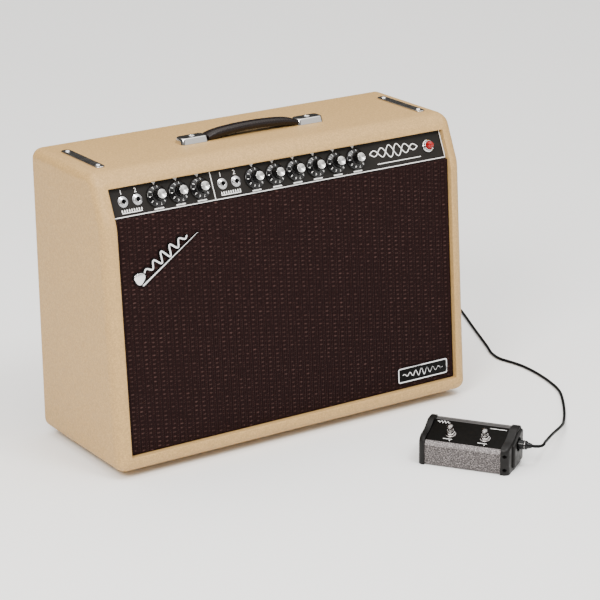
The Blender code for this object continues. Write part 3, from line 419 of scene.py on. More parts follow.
def piece(name, bm, looks, matrix, body="amplifier", instead_of=(), angle=SHARP):
    """A bmesh as a finished piece that rides on a body and stands for CAD nodes."""
    bmesh.ops.recalc_face_normals(bm, faces=bm.faces)
    mesh = bpy.data.meshes.new(name)
    bm.to_mesh(mesh)
    bm.free()
    mesh.shade_smooth()
    mesh.set_sharp_from_angle(angle=math.radians(angle))
    for look in [looks] if isinstance(looks, str) else looks:
        mesh.materials.append(M[look])
    obj = bpy.data.objects.new(name, mesh)
    bpy.context.collection.objects.link(obj)
    obj.matrix_world = matrix
    if body:
        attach(obj, body)
    if instead_of:
        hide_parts(*([instead_of] if isinstance(instead_of, str) else instead_of))
    return obj


def joined(parts):
    """One bmesh from several: (bmesh, matrix or None, material index)."""
    whole = bmesh.new()
    for bm, matrix, index in parts:
        if matrix is not None:
            bm.transform(matrix)
        for face in bm.faces:
            face.material_index = index
        mesh = bpy.data.meshes.new("part")
        bm.to_mesh(mesh)
        bm.free()
        whole.from_mesh(mesh)
        bpy.data.meshes.remove(mesh)
    return whole


def quarter(steps):
    """The angles from 0 to a right angle, both counted."""
    return [math.radians(90 * k / steps) for k in range(steps + 1)]


def bridge(bm, loops, closed=False, capped=False):
    """Faces from each loop of vertices to the next, as one list for each pair of loops."""
    count = len(loops[0])
    bands = []
    for one, two in zip(loops, loops[1:] + (loops[:1] if closed else [])):
        band = []
        for i in range(count):
            j = (i + 1) % count
            band.append(bm.faces.new((one[i], one[j], two[j], two[i])))
        bands.append(band)
    if capped:
        bm.faces.new(loops[0])
        bm.faces.new(loops[-1])
    return bands


def turned(profile, steps=48, wobble=None):
    """A closed solid turned about z from a loop of (radius, z) points.

    wobble(index, angle) scales the radius of the ring of that index.
    """
    bm = bmesh.new()
    rings = []
    for index, (radius, z) in enumerate(profile):
        if radius == 0:
            rings.append([bm.verts.new((0, 0, z))])
            continue
        ring = []
        for i in range(steps):
            a = 2 * math.pi * i / steps
            r = radius * (wobble(index, a) if wobble else 1.0)
            ring.append(bm.verts.new((r * math.cos(a), r * math.sin(a), z)))
        rings.append(ring)
    for lower, upper in zip(rings, rings[1:] + rings[:1]):
        for i in range(steps):
            j = (i + 1) % steps
            below = lower[i % len(lower)], lower[j % len(lower)]
            above = upper[j % len(upper)], upper[i % len(upper)]
            corners = tuple(dict.fromkeys(below + above))
            if len(corners) > 2:
                bm.faces.new(corners)
    return bm


def eased(profile, radius=0.0004, steps=3):
    """The same (radius, z) loop with its corners rounded, apart from those on the axis."""
    out = []
    count = len(profile)
    for i, (r, z) in enumerate(profile):
        before, here, after = Vector(profile[i - 1]), Vector((r, z)), Vector(profile[(i + 1) % count])
        one, two = before - here, after - here
        if r == 0 or one.length < 1e-6 or two.length < 1e-6:
            out.append((r, z))
            continue
        reach = min(radius, one.length * 0.45, two.length * 0.45)
        start, end = here + one.normalized() * reach, here + two.normalized() * reach
        for step in range(steps + 1):
            t = step / steps
            p = start * (1 - t) ** 2 + here * 2 * t * (1 - t) + end * t**2
            out.append((max(p.x, 0.0), p.y))
    return out


def soft_turned(profile, ease, sides, steps=3):
    return turned(eased(profile, ease, steps), sides)


def prism(outline, low, high):
    bm = bmesh.new()
    rings = [[bm.verts.new((x, y, z)) for x, y in outline] for z in (low, high)]
    bm.faces.new(rings[0])
    bm.faces.new(rings[1])
    bridge(bm, rings)
    return bm


def flat_ring(outer, inner, low, high):
    """A flat frame between two outlines with the same number of points."""
    bm = bmesh.new()
    corners = (outer, low), (outer, high), (inner, high), (inner, low)
    bridge(bm, [[bm.verts.new((*p, z)) for p in outline] for outline, z in corners], closed=True)
    return bm


def rounded(width, height, radius, steps=8):
    points = []
    for corner, (sx, sy) in enumerate(((1, 1), (-1, 1), (-1, -1), (1, -1))):
        for step in range(steps + 1):
            a = math.radians(90 * (corner + step / steps))
            points.append((sx * (width / 2 - radius) + radius * math.cos(a),
                           sy * (height / 2 - radius) + radius * math.sin(a)))
    return points


def slab(outline, low, high, edge, steps=3, both=False):
    """A plate from a smooth convex outline, with its upper (or both) edges rounded."""
    bm = bmesh.new()
    cx = sum(p[0] for p in outline) / len(outline)
    cy = sum(p[1] for p in outline) / len(outline)
    spanx = max(abs(p[0] - cx) for p in outline)
    spany = max(abs(p[1] - cy) for p in outline)

    def ring(inset, z):
        fx, fy = (spanx - inset) / spanx, (spany - inset) / spany
        return [bm.verts.new((cx + (x - cx) * fx, cy + (y - cy) * fy, z)) for x, y in outline]

    rings = []
    if both:
        for a in quarter(steps)[:0:-1]:
            rings.append(ring(edge * (1 - math.cos(a)), low + edge * (1 - math.sin(a))))
        rings.append(ring(0, low + edge))
    else:
        rings.append(ring(0, low))
    for a in quarter(steps):
        rings.append(ring(edge * (1 - math.cos(a)), high - edge * (1 - math.sin(a))))
    bridge(bm, rings, capped=True)
    return bm


def soft_corners(outline, reach):
    """The same outline with each corner rounded off by up to the reach."""
    soft = []
    for k, corner in enumerate(outline):
        here = Vector(corner)
        before, after = Vector(outline[k - 1]), Vector(outline[(k + 1) % len(outline)])
        one, two = before - here, after - here
        one *= min(reach, one.length * 0.45) / one.length
        two *= min(reach, two.length * 0.45) / two.length
        for t in (0, 0.33, 0.67, 1):
            p = (here + one) * (1 - t) ** 2 + here * 2 * t * (1 - t) + (here + two) * t**2
            soft.append((p.x, p.y))
    return soft


def cut(obj, bm, matrix, operation="DIFFERENCE"):
    """Cuts a shape away from a finished piece, or joins it on, and leaves one plain mesh."""
    bmesh.ops.recalc_face_normals(bm, faces=bm.faces)
    mesh = bpy.data.meshes.new("tool")
    bm.to_mesh(mesh)
    bm.free()
    tool = bpy.data.objects.new("tool", mesh)
    bpy.context.collection.objects.link(tool)
    tool.matrix_world = matrix
    bpy.context.view_layer.update()
    modifier = obj.modifiers.new("cut", "BOOLEAN")
    modifier.operation = operation
    modifier.object = tool
    graph = bpy.context.evaluated_depsgraph_get()
    result = bpy.data.meshes.new_from_object(obj.evaluated_get(graph))
    obj.modifiers.clear()
    obj.data = result
    bpy.data.objects.remove(tool)
    result.shade_smooth()
    result.set_sharp_from_angle(angle=math.radians(SHARP))


def glyph(text, height, depth=PRINT):
    """A number as a thin closed solid, centred, standing on z = 0."""
    curve = bpy.data.curves.new("glyph", "FONT")
    curve.body = text
    curve.size = height / 0.69
    curve.extrude = depth / 2
    curve.resolution_u = 3
    obj = bpy.data.objects.new("glyph", curve)
    bpy.context.collection.objects.link(obj)
    graph = bpy.context.evaluated_depsgraph_get()
    mesh = bpy.data.meshes.new_from_object(obj.evaluated_get(graph))
    bm = bmesh.new()
    bm.from_mesh(mesh)
    bpy.data.objects.remove(obj)
    bpy.data.meshes.remove(mesh)
    bmesh.ops.remove_doubles(bm, verts=bm.verts, dist=1e-6)
    xs, ys = [v.co.x for v in bm.verts], [v.co.y for v in bm.verts]
    bm.transform(moved(-(min(xs) + max(xs)) / 2, -(min(ys) + max(ys)) / 2, depth / 2))
    return bm


def bar(length, width, x=0.0, y=0.0, angle=0.0):
    """A thin printed bar with round ends, as joined() takes it."""
    shape = prism(rounded(length, width, min(length, width) * 0.499, 4), 0, PRINT)
    return shape, moved(x, y) @ turn(angle, "Z"), 0


def cross_screw(radius, high):
    """A domed cross-head standing on z = 0, and the two slots of its recess with their matrices."""
    head = soft_turned([(0, high), (radius * 0.55, high * 0.93), (radius, high * 0.25), (radius, 0), (0, 0)],
                       radius * 0.2, 32)
    slot = rounded(radius * 1.15, radius * 0.26, radius * 0.1, 2)
    return head, [(prism(slot, high * 0.45, high * 1.3), turn(a, "Z")) for a in (0, 90)]


def screw_piece(name, places, radius, high, look="chrome"):
    """Several cross-head screws as one piece, at frames whose z points out."""
    heads = []
    slots = [], []
    for place in places:
        head, pair = cross_screw(radius, high)
        heads.append((head, place, 0))
        for group, (shape, matrix) in zip(slots, pair):
            group.append((shape, place @ matrix, 0))
    obj = piece(name, joined(heads), look, Matrix.Identity(4))
    for group in slots:
        cut(obj, joined(group), Matrix.Identity(4))


def tube(name, points, radius, look, sides):
    """A round cord along points in the frame of the whole object."""
    curve = bpy.data.curves.new(name, "CURVE")
    curve.dimensions = "3D"
    curve.bevel_depth = radius
    curve.bevel_resolution = sides
    curve.use_fill_caps = True
    spline = curve.splines.new("POLY")
    spline.points.add(len(points) - 1)
    for point, place in zip(spline.points, points):
        point.co = (*place, 1)
    spline.use_smooth = True
    curve.materials.append(M[look])
    obj = bpy.data.objects.new(name, curve)
    bpy.context.collection.objects.link(obj)
    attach(obj, "amplifier")
    return obj


def smooth_route(points, step):
    """A centripetal Catmull-Rom curve through the points, with a point about every step metres."""
    route = [Vector(p) for p in points]
    padded = [2 * route[0] - route[1], *route, 2 * route[-1] - route[-2]]
    pace = [(b - a).length ** 0.5 for a, b in zip(padded, padded[1:])]
    legs = [(b - a) / t for a, b, t in zip(padded, padded[1:], pace)]
    slopes = [
        legs[i] + legs[i + 1] - (padded[i + 2] - padded[i]) / (pace[i] + pace[i + 1])
        for i in range(len(route))
    ]
    read = []
    for i in range(len(route) - 1):
        leave, arrive = slopes[i] * pace[i + 1], slopes[i + 1] * pace[i + 1]
        count = max(1, round((route[i + 1] - route[i]).length / step))
        for k in range(count):
            t = k / count
            rise = t * t * (3 - 2 * t)
            straight = route[i] * (1 - rise) + route[i + 1] * rise
            read.append(straight + leave * t * (1 - t) ** 2 - arrive * t * t * (1 - t))
    return read + [route[-1]]


# ---------------------------------------------------------------- camera, light and floor

def camera():
    place, heading, dip, roll = (-1.78225, -2.86840 + SHIFT, 1.32335), -32.942, 18.641, -0.640
    obj = bpy.data.objects.new("camera", bpy.data.cameras.new("camera"))
    obj.data.lens = 140.6
    obj.data.sensor_width = 36.0
    obj.data.clip_end = 50
    bpy.context.collection.objects.link(obj)
    obj.matrix_world = moved(*place) @ turn(heading, "Z") @ turn(90 - dip, "X") @ turn(roll, "Z")
    bpy.context.scene.camera = obj


def floor():
    bm = bmesh.new()
    bmesh.ops.create_grid(bm, x_segments=8, y_segments=8, size=12)
    look = Look("floor", (0.96, 0.96, 0.95), 0.85)
    look.tint(look.noise(2, 2), (0.95, 0.95, 0.94), (0.97, 0.97, 0.96))
    M["floor"] = look.material
    piece("floor", bm, "floor", moved(0, 0, -0.0004), None)


def studio():
    """Faint even light with three soft brighter patches: overhead, left of the front and right of it."""
    world = bpy.data.worlds.new("studio")
    world.use_nodes = True
    tree = world.node_tree
    direction = add_node(tree, "TexCoord", {}).outputs["Generated"]
    overhead = (0, 0, 1), 0.50, 0.95, 2.9
    left_front = (-0.62, -0.74, 0.26), 0.30, 0.95, 0.20
    right_front = (0.52, -0.76, 0.39), 0.80, 0.97, 1.1
    glow = 0.07
    for towards, start, end, strength in (overhead, left_front, right_front):
        facing = add_node(tree, "VectorMath", {0: direction, 1: towards}, operation="DOT_PRODUCT")
        ends = {"Value": facing.outputs["Value"], "From Min": start, "From Max": end, "To Min": 0.0,
                "To Max": strength}
        patch = add_node(tree, "MapRange", ends, interpolation_type="SMOOTHSTEP").outputs[0]
        glow = add_node(tree, "Math", {0: glow, 1: patch}, operation="ADD").outputs[0]
    background = tree.nodes["Background"]
    background.inputs["Color"].default_value = (1.0, 0.985, 0.965, 1)
    tree.links.new(glow, background.inputs["Strength"])
    bpy.context.scene.world = world


def soft_box(name, at, width, power, colour=(1, 1, 1)):
    """A square area light aimed at the middle of the cabinet."""
    light = bpy.data.lights.new(name, "AREA")
    light.shape = "RECTANGLE"
    light.size = light.size_y = width
    light.energy = power
    light.color = colour
    obj = bpy.data.objects.new(name, light)
    bpy.context.collection.objects.link(obj)
    away = Vector(at) - Vector((0.0, SHIFT, 0.25))
    obj.matrix_world = Matrix.Translation(at) @ away.to_track_quat("Z", "Y").to_matrix().to_4x4()


# ---------------------------------------------------------------- cord

def leaving_plug():
    """The cord's first points from the footswitch's plug: straight out, then a quarter turn back."""
    reach, straight, bend = PEDAL_SEAT + PLUG_LENGTH + PLUG_NECK, 0.003, 0.011
    points = [(0, 0, reach - 0.008), (0, 0, reach), (0, 0, reach + straight)]
    for degrees in (30, 60, 90):
        a = math.radians(degrees)
        points.append((bend * (1 - math.cos(a)), 0, reach + straight + bend * math.sin(a)))
    return [PLUG @ Vector(p) for p in points]


def coil_turns():
    """Two layers wound clockwise: inwards along the floor, then outwards on top."""
    inner, pitch, low = 0.0187, 2 * CORD_RADIUS, CORD_RADIUS + 0.0010
    first, second = 3.5, 3.75
    points = []
    steps = 20
    total = round((first + second) * steps)
    for k in range(total + 1):
        turns = k / steps
        a = math.radians(180) - 2 * math.pi * turns
        radius = inner + pitch * abs(first - turns)
        lift = min(1.0, max(0.0, (turns - first + 0.15) / 0.3))
        z = low + pitch * lift * lift * (3 - 2 * lift)
        points.append((COIL_CENTRE[0] + radius * math.cos(a), COIL_CENTRE[1] + radius * math.sin(a), z))
    return points


def cord():
    start = REAR_SHEET + AMP_SEAT + PLUG_LENGTH + PLUG_NECK
    down = [
        (SWITCH_JACK_X, start - 0.008, REAR_LINE_Z),
        (SWITCH_JACK_X, start, REAR_LINE_Z),
        (SWITCH_JACK_X, start + 0.010, REAR_LINE_Z - 0.0015),
        (-0.0995, 0.1580, 0.3960),
        (-0.0985, 0.1690, 0.3800),
        (-0.0975, 0.1730, 0.3500),
        (-0.0960, 0.1740, 0.2600),
        (-0.0940, 0.1740, 0.1500),
        (-0.0900, 0.1740, 0.0700),
        (-0.0780, 0.1745, 0.0260),
        (-0.0550, 0.1755, 0.0055),
        (-0.0200, 0.1775, CORD_FLOOR),
        (0.0300, 0.1820, CORD_FLOOR),
        (0.0900, 0.1870, CORD_FLOOR),
        (0.1500, 0.1890, CORD_FLOOR),
        (0.1950, 0.1930, CORD_FLOOR),
        (0.2300, 0.2060, CORD_FLOOR),
        (0.2530, 0.2290, CORD_FLOOR + 0.0004),
    ]
    away = [
        (0.3300, 0.2930, 0.0066),
        (0.3650, 0.3060, 0.0030),
        (0.4050, 0.3210, CORD_FLOOR),
        (0.4600, 0.3290, CORD_FLOOR),
        (0.5150, 0.3150, CORD_FLOOR),
        (0.5490, 0.2830, CORD_FLOOR),
        (0.5570, 0.2450, CORD_FLOOR),
        (0.5440, 0.2070, CORD_FLOOR),
        (0.5130, 0.1360, CORD_FLOOR),
        (0.4900, 0.0830, CORD_FLOOR),
        (0.4700, 0.0370, CORD_FLOOR),
        (0.4560, 0.0060, CORD_FLOOR),
        (0.4515, -0.0200, CORD_FLOOR),
        (0.4560, -0.0430, CORD_FLOOR),
        (0.4600, -0.0680, CORD_FLOOR),
        (0.4580, -0.1100, CORD_FLOOR),
        (0.4490, -0.1570, CORD_FLOOR),
        (0.4370, -0.1920, CORD_FLOOR),
        (0.4140, -0.2290, CORD_FLOOR),
        (0.3820, -0.2720, CORD_FLOOR),
        (0.3600, -0.2975, 0.0040),
        (0.3410, -0.3180, 0.0090),
        (0.3200, -0.3360, 0.0140),
        (0.2960, -0.3545, 0.0190),
        (0.2700, -0.3760, 0.0252),
        (0.2470, -0.3955, 0.0302),
        (0.2340, -0.4070, 0.0334),
    ]
    route = [AMP @ Vector(p) for p in (*down, *coil_turns(), *away)] + leaving_plug()[::-1]
    points = smooth_route(route, 0.005)
    obj = tube("footswitch_cord", points, CORD_RADIUS, "jacket", sides=4)
    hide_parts("cord_upper", "cord_coil", "cord_lower")

    amp_plug = plug("plug_at_amplifier", AMP_SEAT, on_rear(SWITCH_JACK_X), "cord_plug_amp")
    pedal_plug = plug("plug_at_footswitch", PEDAL_SEAT, PLUG, "cord_plug_pedal")
    tie = coil_tie()


def plug(name, seat, matrix, node):
    """A quarter-inch plug: a moulded grip with a metal ring at its cord end, and the shaft in the socket."""
    end = seat + PLUG_LENGTH
    grip = [(0, end + 0.0065), (0.0031, end + 0.0065), (0.0036, end + 0.0050), (0.0050, end - 0.0002),
            (0.0064, end - 0.0010), (0.0067, end - 0.0030), (0.0063, end - 0.0034), (0.0063, end - 0.0042),
            (0.0068, end - 0.0046), (0.0069, seat + 0.0040), (0.0064, seat + 0.0004), (0, seat + 0.0004)]
    ring = [(0.0066, end - 0.0034), (0.0066, end - 0.0042), (0.0060, end - 0.0042), (0.0060, end - 0.0034)]
    shaft = [(0, seat + 0.0006), (0.0032, seat + 0.0006), (0.0032, seat - 0.0205), (0.0024, seat - 0.0225),
             (0.0031, seat - 0.0250), (0.0012, seat - 0.0288), (0, seat - 0.0290)]
    whole = joined([(soft_turned(grip, 0.0008, 48), None, 0), (soft_turned(ring, 0.0002, 48), None, 1),
                    (soft_turned(shaft, 0.0006, 32), None, 2)])
    return piece(name, whole, ["plug", "dark_chrome", "chrome"], matrix, instead_of=node)


def coil_tie():
    """A strip of band round all the turns of the coil at one place."""
    high, wide, along, bearing = 2 * CORD_RADIUS, 0.0103, 0.0270, 0.6
    outer = rounded(2 * wide + 0.0016, 2 * high + 0.0016, 0.0024, 4)
    inner = [(x * 0.93, y * 0.86) for x, y in outer]
    out = Vector((math.cos(bearing), math.sin(bearing), 0))
    centre = COIL_CENTRE[0] + along * out.x, COIL_CENTRE[1] + along * out.y, high + 0.0011
    at = AMP @ frame_at(centre, out, (0, 0, 1))
    return piece("coil_tie", flat_ring(outer, inner, -0.004, 0.004), "black", at)


# ---------------------------------------------------------------- cabinet

def front_y(z):
    """The front face at a height, its two slopes eased together at the bend."""
    def at(h):
        if h < BEND_Z:
            return FRONT_Y + BEND_SETBACK * (h - FOOT) / (BEND_Z - FOOT)
        return FRONT_Y + BEND_SETBACK + (TOP_SETBACK - BEND_SETBACK) * (h - BEND_Z) / (TOP_Z - BEND_Z)
    ease = 0.006
    return sum(at(z + ease * k / 3) for k in range(-3, 4)) / 7


def ring_points(half, low, high, radius, levels):
    """(x, z) round a rectangle with round corners, with the same count of points for any size."""
    steps = 10
    points = []
    for corner, (sx, sz) in enumerate(((1, 1), (-1, 1), (-1, -1), (1, -1))):
        cx, cz = sx * (half - radius), (high - radius if sz > 0 else low + radius)
        for step in range(steps + 1):
            a = math.radians(90 * (corner + step / steps))
            points.append((cx + radius * math.cos(a), cz + radius * math.sin(a)))
        if corner == 0:
            points += [(half * k, high) for k in (0.5, 0, -0.5)]
        elif corner == 1:
            points += [(-half, z) for z in levels[::-1]]
        elif corner == 2:
            points += [(half * k, low) for k in (-0.5, 0, 0.5)]
        else:
            points += [(half, z) for z in levels]
    return points


def cabinet_shell():
    """The covered boards as one skin: rounded outside, with a flat lip in front and bare wood inside."""
    levels = [0.12, 0.25, BEND_Z - 0.012, BEND_Z - 0.006, BEND_Z, BEND_Z + 0.006, BEND_Z + 0.012]
    outer = ring_points(HALF_WIDTH, FOOT, TOP_Z, 0.0157, levels)
    inner = ring_points(INNER_X, INNER_LOW, INNER_HIGH, 0.0012, levels)
    front_inset, front_edge, rear_edge, inner_edge = 0.0172, 0.0205, 0.0080, 0.0020
    arc = [(1 - math.cos(a), 1 - math.sin(a)) for a in quarter(6)]
    stations = [("outer", front_inset * c, "front", front_edge * s) for c, s in arc]
    stations += [("inner", inner_edge * s, "front", inner_edge * c) for c, s in arc]
    pine_from = len(stations)
    stations += [("inner", 0, "front", 0.050), ("inner", 0, "rear", 0.030)]
    stations += [("inner", inner_edge * s, "rear", inner_edge * c) for c, s in arc[::-1]]
    stations += [("outer", rear_edge * c, "rear", rear_edge * s) for c, s in arc[::-1]]

    bm = bmesh.new()
    loops = []
    for side, inset, end, depth in stations:
        loop = []
        for (ox, oz), (ix, iz) in zip(outer, inner):
            across = Vector((ix - ox, iz - oz)).normalized() * inset
            x, z = (ox + across.x, oz + across.y) if side == "outer" else (ix - across.x, iz - across.y)
            y = front_y(z) + depth if end == "front" else REAR_Y - depth
            loop.append(bm.verts.new((x, y, z)))
        loops.append(loop)
    bands = bridge(bm, loops, closed=True)
    for face in bands[pine_from]:
        face.material_index = 1
    piece("cabinet_shell", bm, ["vinyl", "pine"], AMP,
          instead_of=("cabinet_top", "cabinet_bottom", "cabinet_side_left", "cabinet_side_right"))


def back_panels():
    half, thick, proud = INNER_X - 0.001, 0.006, 0.0068
    cup = [(0.0060, -0.0008), (0.0060, -0.0002), (0.0040, 0.0008), (0.0034, 0.0006), (0.0034, -0.0008)]
    upper, lower = ("upper_back_panel", 0.278, 0.3815, 1), ("lower_back_panel", 0.0340, 0.128, -1)
    for name, low, high, outer_edge in (upper, lower):
        board = slab(rounded(2 * half, high - low, 0.0030, 5), -thick, thick, 0.0028, 4, both=True)
        at = AMP @ frame_at((0, 0.112, (low + high) / 2), (-1, 0, 0), (0, 0, 1))
        piece(name + "_board", board, "vinyl", at, instead_of=name)
        reach = (high - low) / 2
        places = [(sx * (half - 0.013), sy * (reach - 0.016)) for sx in (-1, 1) for sy in (-1, 1)]
        places += [(x, outer_edge * (reach - 0.012)) for x in (-0.09, 0.09)]
        screws = [at @ moved(x, y, proud) for x, y in places]
        cups = [(soft_turned(cup, 0.0003, 32), place, 0) for place in screws]
        piece(name + "_cups", joined(cups), "nickel", Matrix.Identity(4))
        screw_piece(name + "_screws", screws, 0.0035, 0.0012, "nickel")


def feet():
    profile = [(0, FOOT - GAP), (0.0150, FOOT - GAP), (0.0150, 0.0040), (0.0127, 0), (0.0060, 0),
               (0.0052, 0.0030), (0, 0.0030)]
    screw = [(0, 0.0032), (0.0036, 0.0032), (0.0040, 0.0024), (0.0030, 0.0018), (0, 0.0016)]
    for fore, y in (("front", -0.062), ("rear", 0.085)):
        for side, x in (("left", -0.255), ("right", 0.255)):
            name = f"foot_{fore}_{side}"
            parts = [(soft_turned(profile, 0.0012, 40), None, 0), (soft_turned(screw, 0.0004, 24), None, 1)]
            piece("rubber_" + name, joined(parts), ["rubber", "zinc"], AMP @ moved(x, y), instead_of=name)


def grille():
    """Cloth stretched round its board: fine upright ribs in front, rolled edges, a flat back."""
    half, low, high = INNER_X - 0.0007, 0.0247, 0.373
    roll, rib_pitch, rib_depth = 0.0014, 0.00325, 0.00022
    count = 4 * round(2 * half / rib_pitch)
    ribs = []
    for i in range(count + 1):
        x = -half + 2 * half * i / count
        edge = max(0.0, 1 - (half - abs(x)) / roll)
        rolled = roll * (1 - math.sqrt(max(0.0, 1 - edge * edge)))
        ribs.append((x, GRILLE_FACE - rolled - rib_depth * (1 - math.cos(math.pi * i / 2))))
    rows = [(low + roll * (1 - math.sin(a)), -roll * (1 - math.cos(a))) for a in quarter(4)]
    rows = rows[::-1] + [(low + high - y, dz) for y, dz in rows]
    bm = bmesh.new()
    grid = [[bm.verts.new((x, y, max(z + dz, GRILLE_BACK + 0.0005))) for x, z in ribs] for y, dz in rows]
    for one, two in zip(grid, grid[1:]):
        for i in range(len(ribs) - 1):
            bm.faces.new((one[i], one[i + 1], two[i + 1], two[i]))
    rim = [*grid[0], *(row[-1] for row in grid[1:-1]), *grid[-1][::-1], *(row[0] for row in grid[-2:0:-1])]
    rear = [bm.verts.new((v.co.x, v.co.y, GRILLE_BACK)) for v in rim]
    bridge(bm, [rim, rear])
    bm.faces.new(rear)
    piece("grille_cloth", bm, "cloth", FRONT, instead_of="grille_panel", angle=60)


# ---------------------------------------------------------------- control panel

def wave(length, height, cycles, decay, width, depth=PRINT, phase=0.0):
    """A wave as a closed ribbon, centred, that dies down by the decay towards its ends."""
    bm = bmesh.new()
    steps = 96
    rails = [[], []]
    for k in range(steps + 1):
        t = k / steps
        size = height * (1 - decay * abs(2 * t - 1))
        x = length * (t - 0.5)
        y = size * math.sin(2 * math.pi * cycles * t + phase)
        slope = size * 2 * math.pi * cycles * math.cos(2 * math.pi * cycles * t + phase) / length
        normal = Vector((-slope, 1)).normalized() * width / 2
        for rail, sign in zip(rails, (-1, 1)):
            rail.append((x + sign * normal.x, y + sign * normal.y))
    low, high = ([[bm.verts.new((*p, z)) for p in rail] for rail in rails] for z in (0, depth))
    for k in range(steps):
        for a, b in ((low[0], low[1]), (low[1], high[1]), (high[1], high[0]), (high[0], low[0])):
            bm.faces.new((a[k], a[k + 1], b[k + 1], b[k]))
    for k in (0, steps):
        bm.faces.new((low[0][k], low[1][k], high[1][k], high[0][k]))
    return bm


def panel_print():
    parts = []

    def strip(x0, x1, y0, y1):
        parts.append((prism([(x0, y0), (x1, y0), (x1, y1), (x0, y1)], 0, PRINT), None, 0))

    half, line, bottom, under_top, top, divider = PANEL_HALF - 0.0004, 0.0013, 0.0006, 0.0434, 0.0446, -0.1206
    strip(-half, half, bottom, bottom + line)
    for x in (-half, half - line, divider - line / 2):
        strip(x, x + line, bottom, top)
    tab = [(-0.0052, under_top), (-0.0036, 0.0431), (-0.0023, 0.0423), (-0.0014, 0.0412), (-0.0009, 0.0400),
           (-0.0006, 0.0390)]
    edge = []
    for x in KNOBS.values():
        edge += [(x + dx, y) for dx, y in tab] + [(x - dx, y) for dx, y in tab[::-1]]
    outline = [(-half, under_top), *edge, (half, under_top), (half, top), (-half, top)]
    parts.append((prism(outline, 0, PRINT), None, 0))
    for x in KNOBS.values():
        parts.append(bar(0.0155, 0.0020, x, 0.0044))
    for name, x in JACKS.items():
        parts.append((glyph(name[-1], 0.0064), moved(x, 0.0366), 0))
    for x in (-0.2564, -0.0929):
        parts.append(bar(0.0330, 0.0013, x, 0.0062))
        for k in range(9):
            parts.append(bar(0.0018, 0.0040, x + 0.0039 * (k - 4), 0.0092))
    for lean in (0, math.pi):
        parts.append((wave(0.0880, 0.0105, 3, 0.70, 0.0014, PRINT, lean), moved(0.1990, 0.0255), 0))
    parts.append(bar(0.0800, 0.0012, 0.2050, 0.0088))
    piece("panel_print", joined(parts), "print", PANEL @ moved(0, 0, 0.00002))


def dial(name, x):
    """A skirted knob: numbered skirt, fluted barrel, spun cap and its shaft."""
    profile = [(0, 0.0168), (0.0064, 0.0168), (0.0068, 0.0184), (0.0072, 0.0186), (0.0076, 0.0180),
               (0.0084, 0.0076), (0.0092, 0.0062), (0.0152, 0.0038), (0.0163, 0.0030), (0.0166, 0.0018),
               (0.0162, 0.0009), (0.0030, 0.0008), (0.0030, -0.0042), (0, -0.0042)]
    shape = eased(profile, 0.0009, 3)
    barrel = [i for i, (r, z) in enumerate(shape) if 0.0072 < r < 0.0086 and 0.0070 < z < 0.0184]
    flute_count, flute_depth, digits_radius, first_digit, sweep = 24, 0.032, 0.0128, 82, 300

    def flutes(index, angle):
        ridge = (0.5 + 0.5 * math.cos(flute_count * angle)) ** 3
        return 1 - flute_depth * ridge if index in barrel else 1.0

    parts = [(turned(shape, 144, flutes), None, 0)]
    cap = [(0, 0.0174), (0.0012, 0.0175), (0.0058, 0.0187), (0.0063, 0.0190), (0.0067, 0.0184),
           (0.0066, 0.0176), (0, 0.0170)]
    parts.append((soft_turned(cap, 0.0003, 48), None, 2))
    (inner, inner_height), (outer, outer_height) = profile[6:8]
    for number in range(1, 11):
        at = math.radians(first_digit + (number - 1) * sweep / 9)
        digits = glyph(str(number), 0.0031, 0.0001)
        for vert in digits.verts:
            radius = digits_radius + vert.co.y
            angle = at - vert.co.x / digits_radius
            height = inner_height + (radius - inner) * (outer_height - inner_height) / (outer - inner)
            vert.co = (radius * math.cos(angle), radius * math.sin(angle), height + 0.00003 + vert.co.z)
        parts.append((digits, None, 1))
    piece(name + "_dial", joined(parts), ["knob", "print", "spun"], on_panel(x), name + "_control",
          name + "_knob", 40)


def jack(name, matrix, inside, node):
    """A quarter-inch socket: washer, round nut and threaded bush outside, its body within."""
    body = [(0.0034, 0.0042), (0.0042, 0.0042), (0.0043, 0.0034), (0.0060, 0.0032), (0.0063, 0.0028),
            (0.0063, 0.0010), (0.0080, 0.0009), (0.0080, GAP), (0.0048, GAP), (0.0048, -0.0038),
            (0.0085, -0.0038), (0.0085, -0.0126), (0.0058, -0.0128), (0.0058, inside), (0, inside),
            (0, inside + 0.0015), (0.0034, inside + 0.0015)]
    shape = soft_turned(body, 0.0003, 48, 2)
    # painted shade: the bore's deep walls and floor take the near-black recess material
    for face in shape.faces:
        centre = face.calc_center_median()
        if centre.z < -0.0002 and math.hypot(centre.x, centre.y) < 0.0036:
            face.material_index = 1
    piece(name, shape, ["chrome", "hole"], matrix, instead_of=node)


